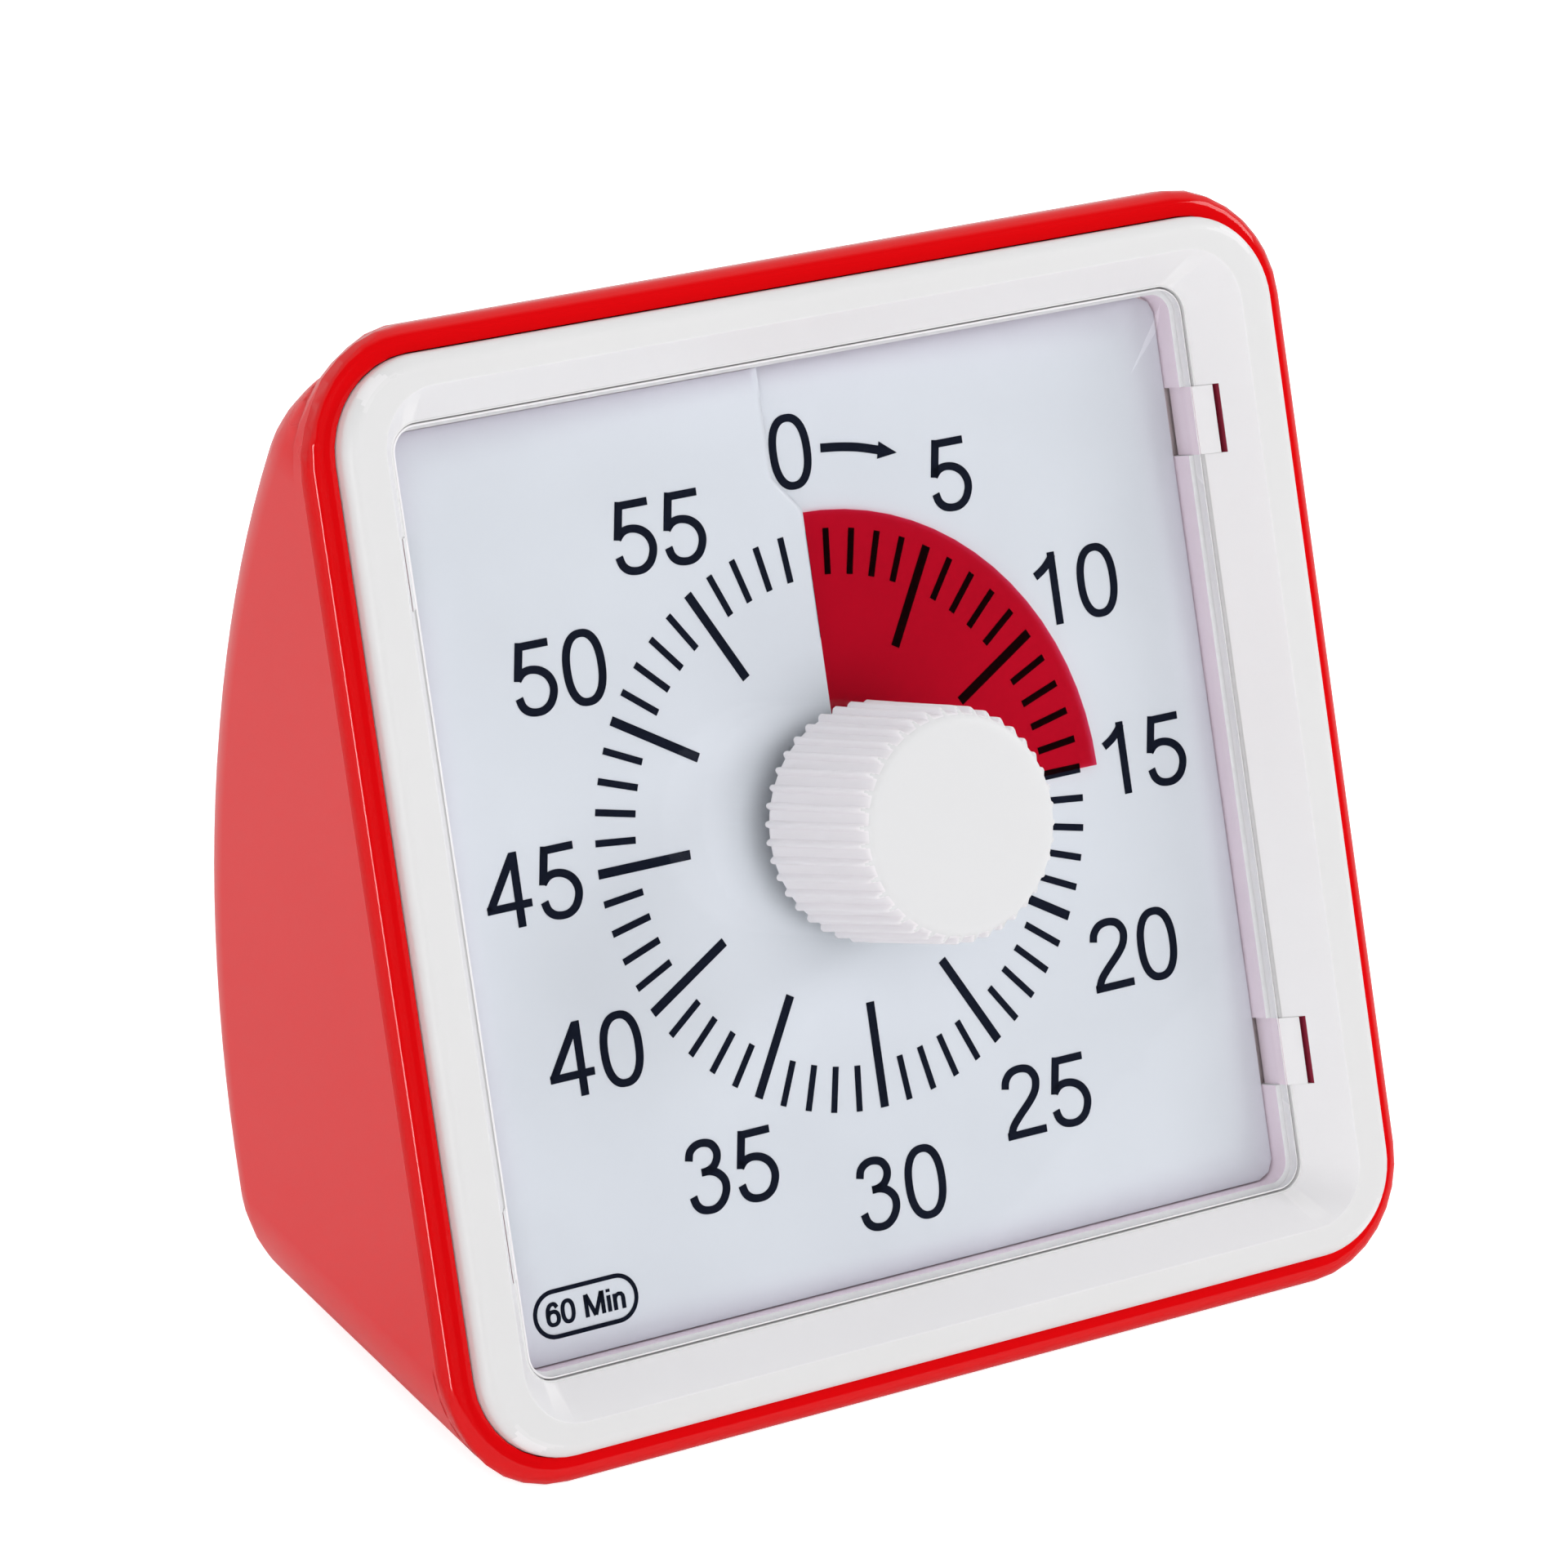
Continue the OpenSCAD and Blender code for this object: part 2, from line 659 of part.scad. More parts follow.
module film_hub() {
  color("white") on_face() translate([0, 0, dial_mid(set_angle / 360) + layer])
    translate([0, 0, -hub_back]) linear_extrude(hub_back + hub_front) difference() {
      circle(hub_r, $fn = fine);
      d_section(spindle_r + run_gap);
    }
}

// ---------- knob and spindle ----------

module knob() {
  base_z = lens_z + 0.35;
  body_h = knob_z - 1.6 - base_z;
  color("white") on_face() difference() {
    union() {
      translate([0, 0, base_z]) linear_extrude(body_h)
        toothed(knob_ribs, 2 * (knob_r - rib_h) / knob_ribs, rib_h, 0, 0.6, 0.3);
      translate([0, 0, base_z]) rotate_extrude($fn = fine) polygon([[0, 0], [knob_r - rib_h, 0],
        [knob_r - rib_h, body_h + 0.7], [knob_r - rib_h - 0.35, body_h + 1.3],
        [knob_r - rib_h - 1.1, body_h + 1.6], [0, body_h + 1.6]]);
    }
    translate([0, 0, base_z - eps]) tube(knob_r - 1.6, spindle_r + 1.6, body_h - 0.4, fine);
    translate([0, 0, base_z - eps]) linear_extrude(body_h - 1) d_section(spindle_r + 0.02);
  }
}

module setting_spindle() {
  tip_z = knob_z - 3;
  color("silver") on_face() {
    translate([0, 0, pocket_z + 0.1]) linear_extrude(tip_z - pocket_z - 0.1) d_section(spindle_r);
    translate([0, 0, move_back_z + case_t]) cylinder(r = neck_r,
      h = pocket_z + 0.2 - move_back_z - case_t, $fn = mid);
    translate([0, 0, out_z - 2.2]) cylinder(r = spindle_r, h = 0.7, $fn = mid);
    translate([0, 0, move_back_z + 0.2]) cylinder(r = neck_r - 0.6, h = case_t, $fn = mid);
  }
}

// ---------- movement ----------

module case_outline() {
  translate([0, (move_top - move_bot) / 2])
    round_rect(move_w, move_top + move_bot, 2.5, 32);
}

module case_inside() {
  difference() {
    translate([0, (move_top - move_bot) / 2])
      round_rect(move_w - 2 * case_t, move_top + move_bot - 2 * case_t, 1.5, 32);
    for (s = move_sites) translate(s) circle(case_head_r + 0.9, $fn = mid);
  }
}

module case_bores(z, h) {
  for (s = move_sites) translate([s.x, s.y, z]) cylinder(r = 0.95, h = h, $fn = 32);
  for (p = [third_at, second_at, rotor_at]) translate([p.x, p.y, z])
    cylinder(r = pivot_r + run_gap, h = h, $fn = 32);
}

module movement_front() {
  color("dimgray") on_face() difference() {
    translate([0, 0, split_z]) linear_extrude(move_front_z - split_z) case_outline();
    translate([0, 0, split_z - eps]) linear_extrude(move_front_z - case_t - split_z) case_inside();
    case_bores(split_z - 1, 9);
    translate([0, 0, split_z - 1]) cylinder(r = neck_r + run_gap, h = 9, $fn = mid);
  }
}

module movement_rear() {
  color("dimgray") on_face() difference() {
    translate([0, 0, move_back_z]) linear_extrude(split_z - move_back_z) case_outline();
    translate([0, 0, move_back_z + case_t]) linear_extrude(far) case_inside();
    case_bores(move_back_z - 1, 19);
    for (s = move_sites) translate([s.x, s.y, move_back_z - 1])
      cylinder(r = case_head_r + 0.1, h = 1 + case_head_t, $fn = mid);
    translate([0, 0, move_back_z - 1]) cylinder(r = neck_r - 0.6 + run_gap, h = 9, $fn = mid);
    for (i = [0, 1]) translate([12 + 3 * i, -6, move_back_z - 1]) cylinder(r = 0.7, h = 9, $fn = 24);
  }
}

module output_wheel() {
  color("ivory") on_face() translate([0, 0, out_z - wheel_t]) linear_extrude(wheel_t)
    difference() {
      toothed(out_teeth, mod_out, 0.72 * mod_out, 0.9 * mod_out, 0.5, 0.2);
      circle(neck_r + 0.02, $fn = mid);
      for (k = [0 : 4]) rotate(72 * k + 36) translate([0.3 * out_teeth * mod_out, 0])
        circle(0.08 * out_teeth * mod_out, $fn = 32);
    }
}

module clutch_spring() {
  color("goldenrod") on_face() translate([0, 0, out_z - wheel_t - 0.65]) rotate_extrude($fn = mid)
    polygon([[neck_r + 0.1, 0.05], [neck_r + 0.1, 0.25], [5, 0.6], [5, 0.4]]);
}

module alarm_cam() {
  color("ivory") on_face() translate([0, 0, cam_z]) linear_extrude(wheel_t) difference() {
    circle(cam_r, $fn = mid);
    circle(neck_r + 0.02, $fn = mid);
    rotate(-set_angle) translate([cam_r, 0]) circle(0.9, $fn = 32);
  }
}

module contact_leaf() {
  leaf_x = cam_r + 0.35;
  color("goldenrod") on_face() translate([0, 0, cam_z + 0.1]) {
    translate([leaf_x, -move_bot + 3, 0]) cube([0.25, move_bot, 0.6]);
    translate([leaf_x, -move_bot + 1.6, -1.2]) cube([3, 1.4, 3]);
    translate([leaf_x, -move_bot + 1.15, -1.2]) cube([0.25, 2, 3]);
  }
}

// Wheel with a pinion in front of it, on pivots that run in both halves of the case.
module train_wheel(teeth, m, wheel_z, leaves, pinion_m, pinion_z, phase, pinion_phase) {
  translate([0, 0, wheel_z - thin_t]) linear_extrude(thin_t)
    toothed(teeth, m, 0.72 * m, 0.9 * m, 0.5, 0.2, phase);
  translate([0, 0, pinion_z - wheel_t - 0.1]) linear_extrude(wheel_t + 0.2)
    toothed(leaves, pinion_m, 0.6 * pinion_m, 0.95 * pinion_m, 0.42, 0.2, pinion_phase);
  translate([0, 0, min(wheel_z, pinion_z) - thin_t]) cylinder(r = 1.6 * pivot_r,
    h = abs(pinion_z - wheel_z) + thin_t, $fn = 32);
  translate([0, 0, move_back_z + 0.3]) cylinder(r = pivot_r,
    h = move_front_z - move_back_z - 0.6, $fn = 32);
}

module third_wheel() {
  color("ivory") on_face() translate([third_at.x, third_at.y, 0])
    train_wheel(third_teeth, mod_third, third_z, leaf_count, mod_out, out_z, third_phase,
      third_pinion_phase);
}

module second_wheel() {
  color("ivory") on_face() translate([second_at.x, second_at.y, 0])
    train_wheel(second_teeth, mod_second, second_z, leaf_count, mod_third, third_z, second_phase,
      second_pinion_phase);
}

// A tooth of one gear faces a gap of the other on the line between their middles.
third_pinion_phase = 150 + 180 + 180 / leaf_count;
third_phase = 60;
second_pinion_phase = 60 + 180 + 180 / leaf_count;
second_phase = 0;
rotor_phase = 180 + 180 / rotor_leaves;

module motor_rotor() {
  color("gray") on_face() translate([rotor_at.x, rotor_at.y, 0]) {
    translate([0, 0, second_z - thin_t - 0.1]) linear_extrude(thin_t + 0.2)
      toothed(rotor_leaves, mod_second, 0.6 * mod_second, 0.95 * mod_second, 0.42, 0.2, rotor_phase);
    translate([0, 0, magnet_z - 1.5]) cylinder(r = magnet_r, h = 1.5, $fn = mid);
    translate([0, 0, move_back_z + 0.3]) cylinder(r = pivot_r,
      h = move_front_z - move_back_z - 0.6, $fn = 32);
  }
}

module motor_stator() {
  color("slategray") on_face() translate([0, 0, magnet_z - 1.2]) linear_extrude(0.6) difference() {
    union() {
      translate(rotor_at) circle(magnet_r + 1.8, $fn = mid);
      translate([rotor_at.x, coil_at.y - 2]) square([coil_at.x - rotor_at.x + coil_len / 2, 4]);
    }
    translate(rotor_at) circle(magnet_r + 0.35, $fn = mid);
    translate([coil_at.x - coil_len / 2 + 2, coil_at.y - 0.5]) square([coil_len - 4, 1]);
  }
}

module motor_coil() {
  color("peru") on_face() translate([coil_at.x, coil_at.y, magnet_z - 0.6 + coil_r + 0.3])
    rotate([0, 90, 0]) {
      cylinder(r = coil_r, h = coil_len - 1.6, center = true, $fn = mid);
      for (i = [-1, 1]) translate([0, 0, i * (coil_len / 2 - 0.4)])
        cylinder(r = coil_r + 0.3, h = 0.8, center = true, $fn = mid);
    }
}

module movement_screws() {
  color("silver") on_face() for (s = move_sites) translate([s.x, s.y, move_back_z + case_head_t])
    pan_screw(0.9, move_t - case_head_t + 1.4, case_head_r, case_head_t);
}

module plate_screws() {
  color("silver") on_face() for (i = [-1, 1], y = plate_screw_y)
    translate([i * plate_screw_x, y, plate_back]) pan_screw(0.8, plate_top - plate_back + 2.6, 1.6, 0.8);
}

module housing_screws() {
  color("silver") on_face() for (s = screw_sites) translate([s.x, s.y, s.z - 1.6])
    pan_screw(screw_r, 1.6 + 5.5, head_r, head_t);
}

// ---------- board, sounder, switch ----------

module circuit_board() {
  color("darkgreen") on_back(board_at) translate([0, 0, board_z - board_t]) difference() {
    translate([-board_w / 2, -board_h / 2, 0]) cube([board_w, board_h, board_t]);
    for (i = [-1, 1]) translate([i * board_screw_x, 0, -1]) cylinder(r = 0.95, h = 3, $fn = 32);
  }
}

module board_chips() {
  color("black") on_back(board_at) translate([0, 0, board_z]) {
    translate([-2.5, -4, 0]) cube([6, 5, 1.6]);
    translate([-2.5, 3, 0]) cube([6.5, 2.2, 2.2]);
    translate([3.2, 5.2, 0]) cylinder(r = 1.5, h = 3.4, $fn = 32);
  }
}

module board_screws() {
  color("silver") on_back(board_at) for (i = [-1, 1])
    translate([i * board_screw_x, 0, board_z - board_t]) pan_screw(0.8, board_t + 3.2, 1.7, 0.8);
}

module sounder() {
  color("black") on_back(board_at) translate([sounder_x, 0, board_z]) difference() {
    cylinder(r = sounder_r, h = -board_z - wall - 0.6, $fn = mid);
    translate([0, 0, -board_z - wall - 1.6]) cylinder(r = 1.2, h = 2, $fn = 32);
  }
}

module switch_body() {
  color("silver") on_back(board_at) translate([switch_x, 0, board_z]) difference() {
    translate([-switch_w / 2, -switch_h / 2, 0]) cube([switch_w, switch_h, switch_t]);
    translate([1 - switch_w / 2, 0.9 - switch_h / 2, 0.8])
      cube([switch_w - 2, switch_h - 1.8, switch_t]);
  }
}

module volume_slider() {
  color("black") on_back(board_at) translate([switch_x, 0, 0]) {
    translate([-stem_w / 2, -stem_h / 2, board_z + 0.9]) cube([stem_w, stem_h, 1 - board_z - 0.9]);
    translate([-stem_w / 2, 1 - switch_h / 2, board_z + 0.9]) cube([stem_w, switch_h - 2, 2]);
  }
}

// ---------- battery ----------

module battery_cell() {
  color("gold") translate([-cell_len / 2, cell_y, cell_z]) rotate([0, 90, 0]) {
    cylinder(r = cell_r, h = cell_len, $fn = fine);
    translate([0, 0, -nub_len]) cylinder(r = nub_r, h = nub_len + 1, $fn = mid);
  }
}

module contact_tab(x, side) {
  translate([x, cell_y, cell_z]) rotate([0, 90 * side, 0]) linear_extrude(contact_t) {
    square(9, center = true);
    translate([side * -8.5, 0]) square([9, 3], center = true);
  }
}

module battery_spring() {
  coil_x = cell_len / 2 + 0.05;
  room = bay_len / 2 - contact_t - coil_x;
  color("silver") {
    contact_tab(bay_len / 2 - contact_t, 1);
    translate([coil_x, cell_y, cell_z]) rotate([0, 90, 0]) for (k = [0 : 2])
      translate([0, 0, k * room / 3]) tube(3 + k * 0.6, 2.2 + k * 0.6, room / 3 + 0.02);
  }
}

module battery_plate() {
  color("silver") {
    contact_tab(-bay_len / 2 + contact_t, -1);
    translate([-cell_len / 2 - nub_len - 0.05, cell_y, cell_z]) rotate([0, -90, 0])
      cylinder(r = 2.4, h = bay_len / 2 - cell_len / 2 - nub_len - 0.05 - contact_t, $fn = mid);
  }
}

module lead() {
  top = arc_point(board_at - board_h / 2 + 1.6, -board_z + board_t + lead_r + 0.1);
  wire([[-bay_len / 2 + 1.2, cell_y, cell_z + 10.4 + lead_r],
    [-bay_len / 2 + 1.2, cell_y + 3, cell_z + 13.4],
    [-board_w / 2 + 3, top.x, top.y]], lead_r);
}

module lead_positive() {
  color("red") lead();
}

module lead_negative() {
  color("black") mirror([1, 0, 0]) lead();
}

module motor_leads() {
  color("blue") on_face() for (i = [0, 1]) translate([12 + 3 * i, -6, move_back_z - 2.6])
    cylinder(r = 0.5, h = 4.6, $fn = 24);
}

rear_housing();
front_bezel();
lens();
dial_sheet();
backing_plate();
red_film();
film_hub();
knob();
setting_spindle();
movement_front();
movement_rear();
output_wheel();
clutch_spring();
alarm_cam();
contact_leaf();
third_wheel();
second_wheel();
motor_rotor();
motor_stator();
motor_coil();
movement_screws();
plate_screws();
housing_screws();
circuit_board();
board_chips();
board_screws();
sounder();
switch_body();
volume_slider();
battery_door();
battery_cell();
battery_spring();
battery_plate();
lead_positive();
lead_negative();
motor_leads();
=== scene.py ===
import json
import math

import bmesh
import bpy
from mathutils import Matrix, Vector
from mathutils.bvhtree import BVHTree


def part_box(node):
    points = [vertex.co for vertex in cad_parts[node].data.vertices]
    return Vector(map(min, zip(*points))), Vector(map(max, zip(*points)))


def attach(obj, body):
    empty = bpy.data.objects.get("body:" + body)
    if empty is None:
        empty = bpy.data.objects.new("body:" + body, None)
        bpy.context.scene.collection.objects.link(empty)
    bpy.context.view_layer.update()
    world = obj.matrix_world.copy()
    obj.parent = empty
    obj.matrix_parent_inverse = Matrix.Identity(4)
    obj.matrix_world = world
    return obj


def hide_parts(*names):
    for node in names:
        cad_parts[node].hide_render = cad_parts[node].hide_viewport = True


bpy.ops.object.select_all(action="DESELECT")
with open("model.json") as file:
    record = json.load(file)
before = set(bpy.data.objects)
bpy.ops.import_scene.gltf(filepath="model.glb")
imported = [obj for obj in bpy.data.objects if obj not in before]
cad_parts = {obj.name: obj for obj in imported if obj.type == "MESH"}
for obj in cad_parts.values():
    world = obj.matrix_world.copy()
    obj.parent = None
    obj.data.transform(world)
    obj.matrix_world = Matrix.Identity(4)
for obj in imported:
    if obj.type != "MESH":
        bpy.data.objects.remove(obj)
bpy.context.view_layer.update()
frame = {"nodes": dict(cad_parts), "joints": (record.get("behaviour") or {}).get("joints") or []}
nodes = frame["nodes"]

MM = 0.001

# The dial's own frame: x to the right, y up the dial, z straight out of it. Sizes and places in it
# are in millimetres, and a height is the distance in front of the dial's middle.
dial_joint = next(joint for joint in frame["joints"] if joint["name"] == "set_knob")
DIAL_MIDDLE = Vector(dial_joint["pos_m"])
LEAN = math.asin(abs(dial_joint["axis"][2]) / Vector(dial_joint["axis"]).length)
DIAL = Matrix.Translation(DIAL_MIDDLE) @ Matrix.Rotation(math.pi / 2 - LEAN, 4, "X")
FLAT = DIAL.inverted()
OUT = DIAL.to_3x3() @ Vector((0, 0, 1))  # the way the dial looks

# Rim of the housing
RIM_BACK = 2.95  # height of the line where the polished rim meets the grained body
CROWN_ACROSS, CROWN_UP = 33.0, 32.4  # middle of the arc of an upper corner
LIP_RADIUS = 8.4  # the lip lies at least this far from that middle
LIP_BACK, LIP_FRONT = 1.85, 4.1  # heights between which its draw-in fades out
DRAW_IN = 0.55  # how far the back of the lip moves in at an upper corner
CROWN_BLEND = 0.6  # angle at each end of the arc over which the draw-in grows, in radians

# Bezel
LAND_HEIGHT, LAND_REACH = 6.17, 37.6  # just below the flat land, just outside its inner edge
BEND_RADIUS, BEND_STEPS = 2.2, 8  # rounding from the flare to the land
BEND_REACH = 38.5  # half the width of the square that holds the flare and this bend
FLARE_FOOT = 2.0  # the flare lies above this height
WELL_TOP, WELL_REACH = 1.1, 34.6  # the well's walls, which get a painted rosy shade, lie below and inside these
SLOT_NEAR, SLOT_FAR, SLOT_HALF = 35.3, 36.4, 2.6  # the slot behind each snap tab, whose side walls get a painted dark red shade
FLARE_TILT, BEND_TILT, LAND_TILT = 0.2, 0.9, 0.985  # how squarely each looks out, 1 at most; flare and bend faces between them get painted light
WALL_TILT = 0.5  # a wall of the well looks out less than this

# Lens and its snap tabs
LENS_WIDTH, LENS_CORNER = 69.0, 2.0
LENS_BREAK = 0.16  # width of its broken front edge
LENS_BACK, LENS_FRONT = 1.15, 2.15
HOLE_RADIUS = 3.6
DRILL_LENGTH, DRILL_MIDDLE = 4, 1.6
TAB_UP, TAB_HALF = 24.2, 2.58  # middles above and below the dial's middle, half length
TAB_ROOT, TAB_REACH = 0.02, 0.95  # how far a tab goes into the lens and stands out of it
TAB_FOOT, TAB_RISE = -0.8, 1.3  # height of its foot, and its outer edge above the lens
TAB_WALL_TOP = 1.2  # what looks left below this height on a tab gets the painted rosy shade, as the well wall does
HOOK_REACH, HOOK_TOP = 1.6, -0.1  # how far a hook stands out of the lens, and its height

# Knob
KNOB_RADIUS, KNOB_TOP = 8.9, 15.5
KNOB_RIBS, RIB_RISE = 40, 0.46
RIB_SHARE = 0.2  # half the width of a rib, as a share of the way to the next
RIB_POINTS = 14  # points of the outline for each rib
SIDE_TILT = 0.6  # the knob's side, painted lighter than its face, looks out less than this

# Dial and its printing
DIAL_HALF, DIAL_CORNER = 33.92, 1.5
DIAL_INNER = 0.955  # share of the sheet that keeps its shape when the edge is drawn out
TICK_RADIUS = 21.5
LONG_TICK, SHORT_TICK = (13.6, 0.71), (18.1, 0.52)  # inner radius and width
PRINT_BACK, PRINT_FRONT = 0.01, 0.04  # heights above the sheet
FIGURE_WIDTH, FIGURE_MIDDLE = 4.24, 2.7  # width of a figure's cell, height of its middle
PEN = 0.66  # width of a stroke
CURVE_STEPS, OVAL_STEPS, BADGE_STEPS = 6, 48, 16  # per point, per oval, per round end

NEAR = 0.01  # how closely two ends have to agree


# ---------- places on the dial ----------


def on_dial(point):
    """A point of the model as a place in the dial's own frame, in millimetres."""
    return FLAT @ point / MM


def off_dial(place):
    """A place in the dial's own frame, in millimetres, as a point of the model."""
    return DIAL @ (place * MM)


# ---------- working on meshes ----------


def pick(obj):
    """Makes obj the only selected and active object."""
    bpy.ops.object.select_all(action="DESELECT")
    obj.select_set(True)
    bpy.context.view_layer.objects.active = obj


def open_whole(obj):
    """Opens a piece in edit mode with all of it selected."""
    pick(obj)
    bpy.ops.object.mode_set(mode="EDIT")
    bpy.ops.mesh.select_all(action="SELECT")


def close(obj):
    """Leaves edit mode."""
    bpy.ops.object.mode_set(mode="OBJECT")
    return obj


def turn_faces_out(obj):
    """Turns the faces of closed pieces to the outside."""
    open_whole(obj)
    bpy.ops.mesh.normals_make_consistent(inside=False)
    return close(obj)


def named(obj, name):
    """Names a piece and its mesh alike."""
    obj.name = name
    obj.data.name = name
    return obj


def linked(name, data):
    """A new object in the scene that holds a mesh, a lamp or a lens."""
    obj = bpy.data.objects.new(name, data)
    bpy.context.scene.collection.objects.link(obj)
    return obj


def settle(obj, place):
    """Bakes a place into the mesh, so that the object itself stays at the origin."""
    obj.data.transform(place @ obj.matrix_basis)
    obj.matrix_basis = Matrix.Identity(4)
    obj.data.update()
    return obj


def join_as(name, objs):
    """Joins pieces into the first one, and names it."""
    bpy.ops.object.select_all(action="DESELECT")
    for obj in objs:
        obj.select_set(True)
    bpy.context.view_layer.objects.active = objs[0]
    bpy.ops.object.join()
    return named(bpy.context.object, name)


def apply_place(obj):
    """Moves a piece's place, turn and scale into its mesh."""
    pick(obj)
    bpy.ops.object.transform_apply(location=True, rotation=True, scale=True)
    return obj


def round_edges(obj, test, radius, segments):
    """Bevels the edges for which test(first end, second end) holds."""
    pick(obj)
    bpy.ops.object.mode_set(mode="EDIT")
    bpy.ops.mesh.select_mode(type="EDGE")
    bpy.ops.mesh.select_all(action="DESELECT")
    mesh = bmesh.from_edit_mesh(obj.data)
    for edge in mesh.edges:
        edge.select_set(test(edge.verts[0].co, edge.verts[1].co))
    bmesh.update_edit_mesh(obj.data)
    bpy.ops.mesh.bevel(offset=radius, segments=segments, affect="EDGES", clamp_overlap=True)
    bpy.ops.mesh.select_mode(type="VERT")
    return close(obj)


def soften(obj, degrees):
    """Shades a piece smooth, but for edges that turn by more than this."""
    pick(obj)
    bpy.ops.object.shade_smooth_by_angle(angle=math.radians(degrees))
    return obj


def weigh_normals(obj):
    """Keeps broad faces flat looking, so that only the roundings turn the light."""
    mod = obj.modifiers.new("even_shading", "WEIGHTED_NORMAL")
    mod.keep_sharp = True
    mod.weight = 100
    return obj


def moulding(node, name, degrees=32):
    """The CAD piece's own shape with its loose triangles joined and its curves smooth."""
    obj = linked(name, nodes[node].data.copy())
    obj.data.materials.clear()
    open_whole(obj)
    bpy.ops.mesh.remove_doubles(threshold=0.002 * MM)
    bpy.ops.mesh.normals_make_consistent(inside=False)
    bpy.ops.mesh.dissolve_limited(angle_limit=math.radians(0.05))
    close(obj)
    soften(obj, degrees)
    weigh_normals(obj)
    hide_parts(node)
    return obj


# ---------- working on materials ----------

MOTTLING, GLOSS_PATCHES = 28, 45  # patches to the metre


def fresh(name):
    """A new material with its node tree and its shader."""
    mat = bpy.data.materials.new(name)
    mat.use_nodes = True
    tree = mat.node_tree
    return mat, tree, tree.nodes["Principled BSDF"]


def wire_up(tree, source, target):
    tree.links.new(source, target)


def surface_place(tree, stretch=(1, 1, 1)):
    """Object coordinates, stretched where a grain runs one way."""
    coord = tree.nodes.new("ShaderNodeTexCoord")
    mapping = tree.nodes.new("ShaderNodeMapping")
    mapping.inputs["Scale"].default_value = stretch
    wire_up(tree, coord.outputs["Object"], mapping.inputs["Vector"])
    return mapping.outputs["Vector"]


def noise(tree, place, per_metre, detail=3.0, rough=0.55):
    """Cloudy noise of so many patches to the metre."""
    node = tree.nodes.new("ShaderNodeTexNoise")
    node.inputs["Scale"].default_value = per_metre
    node.inputs["Detail"].default_value = detail
    node.inputs["Roughness"].default_value = rough
    wire_up(tree, place, node.inputs["Vector"])
    return node.outputs["Fac"]


def ramp(tree, fac, stops):
    """Turns a value into a colour by stops of (value, colour)."""
    node = tree.nodes.new("ShaderNodeValToRGB")
    elements = node.color_ramp.elements
    while len(elements) < len(stops):
        elements.new(0.5)
    for element, (at, colour) in zip(elements, stops):
        element.position = at
        element.color = (*colour, 1)
    wire_up(tree, fac, node.inputs["Fac"])
    return node.outputs["Color"]


def between(tree, fac, low, high):
    """Spreads a noise, which seldom leaves 0.1 to 0.9, over low to high."""
    node = tree.nodes.new("ShaderNodeMapRange")
    node.interpolation_type = "SMOOTHERSTEP"
    node.inputs["From Min"].default_value = 0.1
    node.inputs["From Max"].default_value = 0.9
    node.inputs["To Min"].default_value = low
    node.inputs["To Max"].default_value = high
    wire_up(tree, fac, node.inputs["Value"])
    return node.outputs["Result"]


def bump(tree, bsdf, height, depth_mm, strength=1.0):
    """Raises a fine relief on a shader."""
    node = tree.nodes.new("ShaderNodeBump")
    node.inputs["Strength"].default_value = strength
    node.inputs["Distance"].default_value = depth_mm * MM
    wire_up(tree, height, node.inputs["Height"])
    wire_up(tree, node.outputs["Normal"], bsdf.inputs["Normal"])


def moulded(name, dark, light, gloss, grain_mm=0.01, grain_scale=2500, level=0.5, glow=0.0):
    """Injection moulded plastic: faint mottling, uneven gloss and a fine spark-eroded grain."""
    mat, tree, bsdf = fresh(name)
    place = surface_place(tree)
    mottling = noise(tree, place, MOTTLING, 2)
    wire_up(tree, ramp(tree, mottling, [(0.15, dark), (0.85, light)]), bsdf.inputs["Base Color"])
    wire_up(tree, between(tree, noise(tree, place, GLOSS_PATCHES, 2), gloss[0], gloss[1]),
            bsdf.inputs["Roughness"])
    bump(tree, bsdf, noise(tree, place, grain_scale, 2), grain_mm, 0.5)
    bsdf.inputs["IOR"].default_value = 1.5
    bsdf.inputs["Specular IOR Level"].default_value = level
    if glow:
        bsdf.inputs["Subsurface Weight"].default_value = glow
        bsdf.inputs["Subsurface Radius"].default_value = (1, 1, 1)
        bsdf.inputs["Subsurface Scale"].default_value = 0.6 * MM
    return mat


def white_plastic(name, dark, light, gloss=(0.38, 0.5), glow=0.15):
    """Smooth white plastic, which light enters a little."""
    return moulded(name, dark, light, gloss, grain_mm=0.002, grain_scale=6000, glow=glow)


def metal(name, dark, light, gloss, stretch=(1, 1, 1), scale=400):
    """Rolled or plated metal with a drawn grain."""
    mat, tree, bsdf = fresh(name)
    place = surface_place(tree, stretch)
    grain = noise(tree, place, scale, 6, 0.7)
    wire_up(tree, ramp(tree, grain, [(0.25, dark), (0.75, light)]), bsdf.inputs["Base Color"])
    wire_up(tree, between(tree, noise(tree, place, scale / 4, 3), gloss[0], gloss[1]),
            bsdf.inputs["Roughness"])
    bump(tree, bsdf, grain, 0.01, 0.4)
    bsdf.inputs["Metallic"].default_value = 1.0
    return mat


